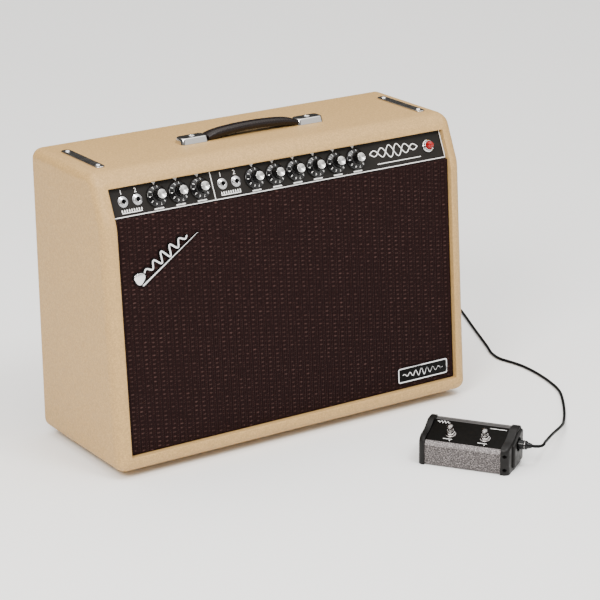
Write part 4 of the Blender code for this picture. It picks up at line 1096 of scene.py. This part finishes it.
def lamp():
    """A faceted jewel in a chrome bezel: above its straight side, alternate rings are turned half a side."""
    bezel = [(0.0064, 0.0060), (0.0072, 0.0064), (0.0078, 0.0058), (0.0080, 0.0036), (0.0096, 0.0028),
             (0.0100, 0.0018), (0.0100, GAP), (0.0075, GAP), (0.0075, -0.0110), (0, -0.0110), (0, -0.0095),
             (0.0064, -0.0095)]
    piece("lamp_bezel", soft_turned(bezel, 0.0005, 64), "chrome", on_panel(LAMP_X), instead_of="pilot_bezel")
    bm = bmesh.new()
    sides = 10
    rings = []
    for radius, z, half in ((0.0061, -0.0060, 0), (0.0061, 0.0074, 0), (0.0057, 0.0098, 0.5),
                            (0.0040, 0.0124, 0), (0.0020, 0.0136, 0.5)):
        angles = [2 * math.pi * (i + half) / sides for i in range(sides)]
        rings.append([bm.verts.new((radius * math.cos(a), radius * math.sin(a), z)) for a in angles])
    bm.faces.new(rings[0])
    for i in range(sides):
        j = (i + 1) % sides
        bm.faces.new((rings[0][i], rings[0][j], rings[1][j], rings[1][i]))
        for lower, upper, lead in ((rings[1], rings[2], 0), (rings[2], rings[3], 1), (rings[3], rings[4], 0)):
            if lead == 0:
                bm.faces.new((lower[i], lower[j], upper[i]))
                bm.faces.new((lower[j], upper[j], upper[i]))
            else:
                bm.faces.new((lower[i], upper[j], upper[i]))
                bm.faces.new((lower[i], lower[j], upper[j]))
    bm.faces.new(rings[4])
    piece("lamp_jewel", bm, "jewel", on_panel(LAMP_X), instead_of="pilot_jewel", angle=5)


# ---------------------------------------------------------------- handle and straps

def strap_line(x):
    """The strap's underside height and its thickness at x: a low arch, thinner near the caps."""
    share = min(1.0, abs(x) / (CAP_INNER - GAP))
    return TOP_Z + 0.0012 + STRAP_RISE * (1 - share**2), 0.0070 + STRAP_SWELL * (1 - share**8)


def strap_section(x):
    """(y, z) round the strap at x: flat below, a padded crown with a groove along each edge above."""
    over = [(-0.0115, 0.50), (-0.0114, 0.70), (-0.0107, 0.79), (-0.0096, 0.79), (-0.0090, 0.74),
            (-0.0084, 0.83), (-0.0070, 0.93), (-0.0040, 0.985), (0.0, 1.0)]
    over += [(-y, h) for y, h in over[-2::-1]]
    under = [(0.0115, 0.16), (0.0107, 0.04), (0.0085, 0.0), (0.0, 0.0)]
    under += [(-y, h) for y, h in under[-2::-1]]
    low, thick = strap_line(x)
    return [(y, low + thick * h) for y, h in over + under]


def handle_strap():
    """The strap in two halves that meet in the middle, so that each bends up from its own cap."""
    ends, crown = CAP_INNER - GAP, 0.765
    thread = [(0, 0.0015), (0.00035, 0.0012), (0.00042, 0), (0.00035, -0.0012), (0, -0.0015)]
    for side, name in ((-1, "handle_strap_left"), (1, "handle_strap_right")):
        stations = [0.00004, 0.0008] + [0.0008 + (ends - 0.0008) * k / 40 for k in range(1, 41)]
        bm = bmesh.new()
        loops = [[bm.verts.new((side * x, y, z)) for y, z in strap_section(x)] for x in stations]
        bridge(bm, loops, capped=True)
        bmesh.ops.recalc_face_normals(bm, faces=bm.faces)
        stitches = []
        for row in (-0.0090, 0.0090):
            for k in range(17):
                x = side * (0.0024 + 0.0044 * k)
                share = abs(x) / ends
                slope = -side * (2 * STRAP_RISE * share + STRAP_SWELL * 8 * share**7 * crown) / ends
                low, thick = strap_line(x)
                at = moved(x, row, low + thick * crown) @ Matrix.Rotation(-math.atan(slope), 4, "Y")
                stitches.append((soft_turned(thread, 0.0002, 6, 1), at @ turn(90, "Y"), 1))
        whole = joined([(bm, None, 0), *stitches])
        obj = piece(name, whole, ["strap", "thread"], AMP @ moved(0, HANDLE_Y), None,
                    angle=50)
        if side < 0:
            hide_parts("handle_strap")
        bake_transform(obj)


def handle_caps():
    """Drafted chrome caps over the strap's ends, each with a countersunk screw."""
    length, width, height, draft, screw_seat = CAP_OUTER - CAP_INNER, 0.0250, 0.0092, 0.0022, 0.0078
    sink = [(0, 0.02), (0.0058, 0.02), (0.0058, 0.0090), (0.0040, screw_seat), (0, screw_seat)]
    for name, side in (("left", -1), ("right", 1)):
        at = AMP @ moved(side * (CAP_INNER + length / 2), HANDLE_Y, TOP_Z)
        cap = slab(rounded(length, width, 0.0052, 8), GAP, height, 0.0016, 5)
        for vert in cap.verts:
            inward = draft * vert.co.z / height
            vert.co.x -= math.copysign(inward * 0.6, vert.co.x)
            vert.co.y -= math.copysign(inward, vert.co.y)
        obj = piece("handle_cap_cover_" + name, cap, "soft_chrome", at, instead_of="handle_cap_" + name)
        cut(obj, soft_turned(sink, 0.0006, 40), at)
        screw_piece("handle_screw_" + name, [at @ moved(0, 0, screw_seat + 0.0001)], 0.0036, 0.0012)


def chassis_straps():
    for name, side in (("left", -1), ("right", 1)):
        at = AMP @ moved(side * 0.279, 0.019, TOP_Z)
        plate = slab(rounded(0.0150, 0.113, 0.0062, 8), GAP, 0.0021, 0.0009, 4)
        piece("chassis_strap_plate_" + name, plate, "nickel", at, instead_of="chassis_strap_" + name)
        screws = [at @ moved(0, y, 0.0021) for y in (-0.046, 0.046)]
        screw_piece("chassis_strap_screws_" + name, screws, 0.0042, 0.0020)


# ---------------------------------------------------------------- badges

def emblem():
    """A plain badge of the amplifier's own: a slanting plectrum with a string wave over a tapered line."""
    face = GRILLE_FACE + GAP
    slant = FRONT @ moved(-0.214, 0.309) @ turn(31, "Z")
    pick_x, pick_y, pick_radius, border = -0.0500, 0.0010, 0.0088, 1.18
    pick = []
    for k in range(40):
        a = 2 * math.pi * k / 40
        r = pick_radius * (1 + 0.10 * math.cos(3 * a) + 0.06 * math.cos(a))
        pick.append((r * math.cos(a) + pick_x, r * math.sin(a) + pick_y))
    wide = [(pick_x + (x - pick_x) * border, pick_y + (y - pick_y) * border) for x, y in pick]

    def streak(width, low, high):
        """A long line tapering to the right, under the string."""
        outline = [(-0.0500, -0.0118 - width), (0.0600, -0.0060 - width * 0.4), (0.0620 + width, -0.0058),
                   (0.0600, -0.0056 + width * 0.4), (-0.0500, -0.0098 + width), (-0.0520 - width, -0.0108)]
        return prism(outline, low, high), None, 0

    string = 0.0840, 0.0088, 5, 0.72
    back = [(prism(wide, face, face + 0.0016), None, 0), streak(0.0016, face, face + 0.0014),
            (wave(*string, 0.0052, 0.0015), moved(0.0030, 0.0030, face), 0)]
    piece("emblem_back", joined(back), "badge_black", slant, instead_of="emblem")
    front = [(slab(pick, face + 0.0013, face + 0.0030, 0.0008, 3), None, 0),
             streak(0.0003, face + 0.0012, face + 0.0026),
             (wave(*string, 0.0025, 0.0014), moved(0.0030, 0.0030, face + 0.0014), 0)]
    piece("emblem_strokes", joined(front), "chrome", slant)


def nameplate():
    """A small dark plate with a raised frame and a wave in place of a name."""
    face = GRILLE_FACE + GAP
    at = FRONT @ moved(0.2286, 0.0466)
    outer, inner = rounded(0.093, 0.0236, 0.0035, 6), rounded(0.0894, 0.0200, 0.0020, 6)
    piece("nameplate_back", slab(outer, face, face + 0.0018, 0.0006, 2), "badge_black", at,
          instead_of="nameplate")
    ring = flat_ring(outer, inner, face + 0.0009, face + 0.0026)
    line = wave(0.0760, 0.0058, 7, 0.8, 0.0011, 0.0008)
    parts = [(ring, None, 0), (line, moved(0, 0, face + 0.0017), 0)]
    piece("nameplate_frame", joined(parts), "chrome", at)


# ---------------------------------------------------------------- speaker and inside

def speaker():
    """A twelve-inch speaker, made with its front at z = 0 and its magnet upwards, then turned over."""
    seat = -GRILLE_BACK + BAFFLE_THICKNESS + 2 * GAP
    axis = FRONT @ moved(0, 0.200, -seat) @ turn(180, "X")
    speaker_basket(axis)
    speaker_motor(axis)
    speaker_paper(axis)
    speaker_nuts(axis)


def speaker_basket(axis):
    wall = 0.0018
    basket = [(0.1525, 0), (0.1525, 0.004), (0.1405, 0.004), (0.1405, 0.014), (0.078, 0.078),
              (0.078, BASKET_TOP), (0.030, BASKET_TOP), (0.030, 0.078 + wall), (0.074, 0.078 + wall),
              (0.074, 0.077), (0.1385, 0.0125), (0.1385, 0)]
    obj = piece("speaker_basket", soft_turned(basket, 0.0016, 120, 2), "basket", axis,
                instead_of="speaker_frame")
    window = soft_corners([(0.084, -0.016), (0.130, -0.040), (0.130, 0.040), (0.084, 0.016)], 0.007)
    cut(obj, joined([(prism(window, 0.010, 0.0742), turn(60 * k, "Z"), 0) for k in range(6)]), axis)


def speaker_motor(axis):
    back = BASKET_TOP + GAP
    magnet = [(0, back + 0.044), (0.046, back + 0.044), (0.051, back + 0.040), (0.052, back + 0.036),
              (0.074, back + 0.034), (0.078, back + 0.031), (0.078, back + 0.009), (0.074, back + 0.006),
              (0.066, back + 0.006), (0.066, back), (0.0275, back), (0.0275, back + 0.020),
              (0.0225, back + 0.020), (0.0225, back), (0, back)]
    shape = soft_turned(magnet, 0.0010, 96)
    for face in shape.faces:
        z = face.calc_center_median().z
        face.material_index = 1 if z > back + 0.0345 or z < back + 0.0065 else 0
    piece("speaker_motor", shape, ["iron", "zinc"], axis, instead_of="speaker_magnet")


def speaker_paper(axis):
    """A straight-sided cone with fine ribs, its dust cap in the middle and its folded surround outside."""
    steps, rib, half_waves = 12, 0.0008, 9
    outward = [(k / steps, rib * math.sin(half_waves * math.pi * k / steps)) for k in range(1, steps)]
    cone = [(0, 0.046), (0.010, 0.0468), (0.018, 0.050), (0.025, 0.0545), (0.029, 0.0585)]
    cone += [(0.029 + t * 0.097, 0.0585 - 0.0525 * t + ripple) for t, ripple in outward]
    cone += [(0.126, 0.0060), (0.128, 0.0042), (0.130, 0.0035), (0.132, 0.0042), (0.134, 0.0035),
             (0.136, 0.0048), (0.138, 0.0070), (0.138, 0.0082), (0.136, 0.0062), (0.134, 0.0052),
             (0.132, 0.0058), (0.130, 0.0052), (0.126, 0.0075)]
    cone += [(0.0262 + t * 0.0998, 0.0615 - 0.0540 * t + ripple) for t, ripple in outward[::-1]]
    cone += [(0.0262, 0.0615), (0.0262, 0.092), (0.0240, 0.092), (0.0240, 0.0600), (0.018, 0.0515),
             (0, 0.0475)]
    piece("speaker_paper", turned(cone, 96), "cone", axis, "cone", "speaker_cone")


def speaker_nuts(axis):
    nut = [(0, 0.0048), (0.0035, 0.0048), (0.0040, 0.0040), (0.0040, 0), (0, 0)]
    stud = [(0, 0.0085), (0.0018, 0.0082), (0.0018, 0.0040), (0, 0.0040)]
    parts = []
    for k in range(8):
        a = math.radians(22.5 + 45 * k)
        at = moved(0.1465 * math.cos(a), 0.1465 * math.sin(a), 0.004)
        parts += [(soft_turned(nut, 0.0004, 6, 2), at, 0), (turned(stud, 16), at, 0)]
    piece("speaker_nuts", joined(parts), "zinc", axis, angle=25)


# ---------------------------------------------------------------- rear fittings

def rear_print():
    """A thin outline round each socket and switch, marks round each knob, and a plain bar over each."""
    line, bar_y = 0.0005, 0.0172
    marks = []
    for x, width in ((INLET_X, 0.036), (SIM_X, 0.018), (LIFT_X, 0.018), (LINE_OUT_X, 0.030), (USB_X, 0.020),
                     (SWITCH_JACK_X, 0.022)):
        height = 0.0300
        for dx, dy, w, h in ((0, height / 2, width, line), (0, -height / 2, width, line),
                             (-width / 2, 0, line, height), (width / 2, 0, line, height)):
            marks.append(bar(w, h, -x + dx, dy))
        marks.append(bar(width * 0.6, 0.0010, -x, bar_y))
    for x, radius in ((OUTPUT_X, 0.0128), (LEVEL_X, 0.0095)):
        for k in range(7):
            degrees = -60 + 50 * k
            a = math.radians(degrees)
            marks.append(bar(0.0020, 0.0006, -x + radius * math.cos(a), radius * math.sin(a), angle=degrees))
        marks.append(bar(0.014, 0.0010, -x, bar_y))
    piece("rear_print", joined(marks), "print", REAR @ moved(0, 0, 0.00002))


def mains_inlet():
    at = on_rear(INLET_X)
    flange = slab(rounded(0.0310, 0.0240, 0.0025, 5), GAP, 0.0029, 0.0006, 3)
    obj = piece("mains_inlet_body", flange, "black", at, instead_of="mains_inlet")
    cut(obj, prism(rounded(0.0270, 0.0200, 0.0010, 2), -0.0210, 0.0010), at, "UNION")
    cut(obj, prism(rounded(0.0240, 0.0165, 0.0030, 4), -0.0160, 0.0100), at)
    pins = [(slab(rounded(0.002, 0.004, 0.0006, 3), -0.0170, -0.0030, 0.0005, 2), moved(x, y), 0)
            for x, y in ((-0.007, -0.001), (0, 0.003), (0.007, -0.001))]
    piece("mains_pins", joined(pins), "nickel", at)


def mains_switch():
    """A dished rocker, tipped 8 degrees in its bezel, with a white bar on its upper half."""
    outline = [(-0.0098, -0.004), (-0.0098, 0.0026), (-0.0094, 0.0030), (-0.0050, 0.0018), (0, 0.0012),
               (0.0050, 0.0018), (0.0094, 0.0030), (0.0098, 0.0026), (0.0098, -0.004), (0, -0.0075)]
    rocker = prism(outline, -0.0060, 0.0060)
    rims = [e for e in rocker.edges if abs(e.verts[0].co.z - e.verts[1].co.z) < 1e-6]
    bmesh.ops.bevel(rocker, geom=rims, offset=0.0005, segments=2, profile=0.5, affect="EDGES")
    mark = prism(rounded(0.0035, 0.0007, 0.0003, 2), 0.0, 0.0002)
    mark.transform(moved(-0.0062, 0.0, 0.00235) @ turn(13.5, "Y"))
    whole = joined([(rocker, turn(-90, "Z") @ turn(90, "X"), 0), (mark, turn(-90, "Z"), 1)])
    whole.transform(turn(8, "X"))
    piece("rocker_paddle", whole, ["black", "print"], on_rear(ROCKER_X), "mains_switch", "power_rocker")
    width, height, edge = 0.0162, 0.0248, 0.0014
    across, up = (width - edge) / 2, (height - edge) / 2
    sides = (0, up, width, edge), (0, -up, width, edge), (across, 0, edge, height), (-across, 0, edge, height)
    bezel = [(slab(rounded(w, h, 0.0005, 3), GAP, 0.0014, 0.0004, 2), moved(x, y), 0) for x, y, w, h in sides]
    piece("rocker_bezel", joined(bezel), "black", on_rear(ROCKER_X))


def rear_dial(name, x, radius, height, node, body):
    """A plain ribbed knob with a pointer line."""
    rib_count, rib_depth = 18, 0.035
    profile = eased([(0, height), (radius - 0.0012, height), (radius - 0.0004, height - 0.0010),
                     (radius + 0.0004, 0.0012), (radius - 0.0004, 0.0010), (0.0030, 0.0010),
                     (0.0030, -0.0060), (0, -0.0060)], 0.0004, 2)
    ribs = [i for i, (r, z) in enumerate(profile) if r > radius - 0.0009 and z > 0.0012]

    def ribbed(index, angle):
        return 1 - rib_depth * (0.5 + 0.5 * math.cos(rib_count * angle)) ** 2 if index in ribs else 1.0

    line = slab(rounded(0.0008, radius * 0.8, 0.0003, 3), height - 0.0002, height + 0.0001, 0.00005, 1)
    whole = joined([(turned(profile, 108, ribbed), None, 0), (line, moved(0, radius * 0.5), 1)])
    piece(name, whole, ["knob", "print"], on_rear(x), body, node)


def toggle(name, x, lean, body):
    """A bat lever, which leans by some degrees, in its hexagon nut."""
    lever = soft_turned([(0, 0.0150), (0.0014, 0.0145), (0.0021, 0.0125), (0.0012, 0.0030), (0.0024, 0.0010),
                         (0.0026, 0), (0.0018, -0.0020), (0, -0.0026)], 0.0006, 28)
    lever.transform(turn(lean, "X"))
    piece(name + "_lever", lever, "chrome", on_rear(x), body, name + "_toggle")
    nut = [(0.0031, 0.0020), (0.0044, 0.0020), (0.0048, 0.0016), (0.0048, GAP), (0.0034, GAP)]
    piece(name + "_nut", soft_turned(nut, 0.0003, 6, 2), "nickel", on_rear(x), angle=25)


def line_output():
    """A three-pin socket in a round metal shell."""
    shell = [(0.0080, 0.0030), (0.0125, 0.0030), (0.0130, 0.0024), (0.0130, GAP), (0.0102, GAP),
             (0.0102, -0.0160), (0, -0.0160), (0, -0.0130), (0.0080, -0.0130)]
    pin = [(0, 0.0005), (0.0011, 0.0001), (0.0012, -0.0010), (0.0012, -0.0135), (0, -0.0135)]
    seats = [turn(120 * k + 90, "Z") @ moved(0.0042, 0) for k in range(3)]
    pins = [(soft_turned(pin, 0.0002, 16, 2), seat, 1) for seat in seats]
    piece("line_out_shell", joined([(soft_turned(shell, 0.0004, 56, 2), None, 0), *pins]), ["nickel", "zinc"],
          on_rear(LINE_OUT_X), instead_of="line_out_socket")


def rear_fittings():
    rear_print()
    mains_inlet()
    mains_switch()
    rear_dial("output_power_dial", OUTPUT_X, 0.0095, 0.0135, "output_power_knob", "output_power_control")
    rear_dial("line_level_dial", LEVEL_X, 0.0065, 0.0110, "line_level_knob", "line_level_control")
    toggle("cabinet_sim", SIM_X, 0, "cabinet_sim_switch")
    toggle("ground_lift", LIFT_X, 12, "ground_lift_switch")
    line_output()
    jack("footswitch_socket", on_rear(SWITCH_JACK_X), -0.0300, "footswitch_jack")


# ---------------------------------------------------------------- footswitch

def footswitch_body():
    """The folded housing under texture paint, with a painted highlight: a paler copy of the paint on the band
    at its front edge.
    """
    body = [(0.0004, 0.0012), (0.0, 0.0016), (0.0, 0.0286), (0.0007, 0.0292), (0.0007, 0.0297),
            (0.0001, 0.0301), (0.0004, 0.0320), (0.0013, 0.0338), (0.0026, 0.0353), (0.0043, 0.0364),
            (0.0060, 0.0370), (0.0070, 0.0366), (0.0565, 0.0517), (0.0610, 0.0517), (0.0615, 0.0510),
            (0.0615, 0.0012)]
    shell = prism(body, PEDAL_LOW, PEDAL_HIGH)
    # painted highlight: faces of the front-edge band take the paler copy of the paint
    for face in shell.faces:
        middle = face.calc_center_median()
        face.material_index = 1 if middle.x < 0.0066 and middle.y > 0.0299 and len(face.verts) == 4 else 0
    piece("footswitch_body", shell, ["hammered", "band"], PEDAL_SIDE, instead_of="pedal_housing",
          angle=30)


def footswitch_plate():
    sheet = slab(rounded(PLATE_WIDTH, PLATE_DEPTH, 0.0006, 2), -0.0016, 0.0, 0.0004, 2)
    return piece("footswitch_plate", sheet, "plate_black", PLATE)


def footswitch_rail():
    """The two-ribbed rail behind the plate."""
    rail = [(0.0522, 0.0512), (0.0522, 0.0522), (0.0528, 0.0527), (0.0536, 0.0528), (0.0540, 0.0518),
            (0.0548, 0.0518), (0.0552, 0.0531), (0.0562, 0.0534), (0.0568, 0.0521), (0.0578, 0.0521),
            (0.0584, 0.0535), (0.0606, 0.0535), (0.0613, 0.0530), (0.0614, 0.0519), (0.0560, 0.0518)]
    piece("footswitch_rail", prism(rail, PEDAL_LOW, PEDAL_HIGH), "rail", PEDAL_SIDE,
          angle=20)


def footswitch_buttons(plate):
    """Two stomp buttons through holes in the plate, each in its washer, nut and collar."""
    hole = [(0, 0.01), (0.0042, 0.01), (0.0042, -0.01), (0, -0.01)]
    button = [(0, 0.0172), (0.0020, 0.0171), (0.0038, 0.0166), (0.0047, 0.0155), (0.0048, 0.0140),
              (0.0046, 0.0118), (0.0036, 0.0114), (0.0036, -0.0050), (0, -0.0050)]
    washer = [(0.0044, 0.0010), (0.0076, 0.0010), (0.0078, 0.0006), (0.0078, 0.00005), (0.0044, 0.00005)]
    nut = [(0.0044, 0.0046), (0.0062, 0.0046), (0.0070, 0.0040), (0.0070, 0.0009), (0.0044, 0.0009)]
    collar = [(0.0040, 0.0084), (0.0050, 0.0084), (0.0052, 0.0076), (0.0052, 0.0040), (0.0040, 0.0040)]
    height = PLATE_FRONT[1] + (BUTTON_DEPTH - PLATE_FRONT[0]) * PLATE_SLOPE
    nuts = []
    for name, along in zip(("left", "right"), PEDAL_BUTTONS):
        at = PEDAL @ moved(along, BUTTON_DEPTH, height) @ Matrix.Rotation(math.atan(PLATE_SLOPE), 4, "X")
        cut(plate, turned(hole, 32), at)
        # painted shade: the buttons take the darkened chrome in place of dark reflections
        piece("stomp_" + name, soft_turned(button, 0.0006, 48), "worn_chrome", at, name + "_button",
              "pedal_button_" + name)
        nuts += [(soft_turned(washer, 0.0002, 48, 2), at, 0),
                 (soft_turned(nut, 0.0005, 6, 2), at @ turn(15, "Z"), 0),
                 (soft_turned(collar, 0.0003, 40, 2), at, 0)]
    piece("stomp_nuts", joined(nuts), "dark_chrome", Matrix.Identity(4), angle=25)


def footswitch_print():
    """Plain marks: a bar and a tick by each button, and a bar and a wave at the rear corners."""
    middle, right, rear = (PEDAL_LOW + PEDAL_HIGH) / 2, PLATE_WIDTH / 2, PLATE_DEPTH / 2
    marks = []
    for along in PEDAL_BUTTONS:
        marks.append(bar(0.0140, 0.0010, along - middle - 0.0015, 0.0064 - rear))
        marks.append(bar(0.0013, 0.0024, along - middle + 0.0025, 0.0034 - rear))
    marks.append(bar(0.0250, 0.0009, right - 0.0170, rear - 0.0060))
    marks.append((wave(0.0190, 0.0028, 4, 0.5, 0.0006), moved(0.0140 - right, rear - 0.0050), 0))
    piece("footswitch_print", joined(marks), "print", PLATE @ moved(0, 0, 0.00003))


def end_cap(name, outline, start, sign, thick):
    """A moulded cap whose outer edge is rounded: broadly round the front corner, a little round the top."""
    broad_reach, slim_reach, blend_to = 0.0075, 0.0022, 0.012
    count = len(outline)
    bm = bmesh.new()

    def ring(inset_share, depth_share):
        loop = []
        for i, (x, y) in enumerate(outline):
            share = min(1.0, max(0.0, x / blend_to))
            reach = broad_reach + (slim_reach - broad_reach) * share
            tangent = (Vector(outline[(i + 1) % count]) - Vector(outline[i - 1])).normalized()
            inward = Vector((tangent.y, -tangent.x))
            if i < 2:
                inward = Vector((1.0, 0.0))
            elif i == count - 1:
                inward = Vector((-1.0, 0.0))
            p = Vector((x, y)) + inward * reach * inset_share
            loop.append(bm.verts.new((p.x, p.y, start + sign * (thick - reach * (1 - depth_share)))))
        return loop

    loops = [[bm.verts.new((x, y, start)) for x, y in outline]]
    loops += [ring(1 - math.cos(a), math.sin(a)) for a in quarter(7)]
    bridge(bm, loops, capped=True)
    return piece("end_cap_" + name, bm, "cap_black", PEDAL_SIDE, instead_of="pedal_end_" + name,
                 angle=45)


def footswitch_ends():
    """Both caps with their waved top edge; the right one also has the socket's boss and screw holes."""
    first, last = (-0.0020, 0.0), (0.0635, 0.0)
    top = [(-0.0020, 0.0340), (-0.0008, 0.0378), (0.0030, 0.0408), (0.0100, 0.0428), (0.0190, 0.0443),
           (0.0280, 0.0470), (0.0350, 0.0508), (0.0410, 0.0543), (0.0470, 0.0558), (0.0600, 0.0558),
           (0.0625, 0.0540), (0.0635, 0.0500)]
    outline = [first, *((p.x, p.y) for p in smooth_route([(*p, 0) for p in top], 0.0016)), last]
    right = PEDAL_START + PEDAL_LENGTH
    end_cap("left", outline, PEDAL_START + PEDAL_CAP_LEFT, -1, PEDAL_CAP_LEFT)
    cap = end_cap("right", outline, right - PEDAL_CAP_RIGHT, 1, PEDAL_CAP_RIGHT)

    boss = [(0.0175, 0.0060), (0.0195, 0.0045), (0.0590, 0.0045), (0.0610, 0.0065), (0.0610, 0.0500),
            (0.0585, 0.0525), (0.0475, 0.0520), (0.0415, 0.0500), (0.0350, 0.0465), (0.0280, 0.0430),
            (0.0195, 0.0405), (0.0175, 0.0390)]
    boss_solid = slab(soft_corners(boss, 0.0022), right - 0.005, right + PEDAL_BOSS, 0.0022, 4)
    cut(cap, boss_solid, PEDAL_SIDE, "UNION")
    screw_hole = [(0, 0.01), (0.0027, 0.01), (0.0027, -0.0040), (0, -0.0040)]
    holes = []
    for z in (0.0290, 0.0080):
        at = frame_at((-0.0012, z, right - 0.0062), (0, 0, 1), (0, 1, 0)) @ turn(-24, "Y")
        holes.append((soft_turned(screw_hole, 0.0003, 28, 2), at, 0))
    cut(cap, joined(holes), PEDAL_SIDE)
    cut(cap, turned([(0, 0.01), (0.0108, 0.01), (0.0108, -0.006), (0.0070, -0.0062), (0, -0.0062)], 56), PLUG)
    cut(cap, turned([(0, 0.01), (0.0038, 0.01), (0.0038, -0.030), (0, -0.030)], 32), PLUG)
    bush = [(0.0034, -0.0026), (0.0046, -0.0026), (0.0062, -0.0040), (0.0064, -0.0062), (0.0034, -0.0062)]
    piece("footswitch_socket_nut", soft_turned(bush, 0.0003, 40, 2), "black", PLUG)


def carried_over():
    """CAD nodes that keep their own shape, each with its finished material."""
    for node, look in (("baffle_board", "ply"), ("chassis", "zinc"), ("control_panel", "panel"),
                       ("control_board", "board"), ("main_board", "board"), ("power_supply", "zinc")):
        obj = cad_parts[node]
        obj.data.materials.clear()
        obj.data.materials.append(M[look])


camera()
floor()
studio()
soft_box("key", (-2.35, -1.7, 2.4), 1.3, 128, (1.0, 0.97, 0.93))
soft_box("front", (0.40, -1.60, 2.95), 0.8, 46)
cord()
cabinet_shell()
back_panels()
feet()
grille()
panel_print()
for knob_name, knob_x in KNOBS.items():
    dial(knob_name, knob_x)
for jack_name, jack_x in JACKS.items():
    jack(jack_name + "_socket", on_panel(jack_x), -0.0280, jack_name)
lamp()
handle_strap()
handle_caps()
chassis_straps()
emblem()
nameplate()
speaker()
rear_fittings()
footswitch_body()
pedal_plate = footswitch_plate()
footswitch_rail()
footswitch_buttons(pedal_plate)
footswitch_print()
footswitch_ends()
carried_over()
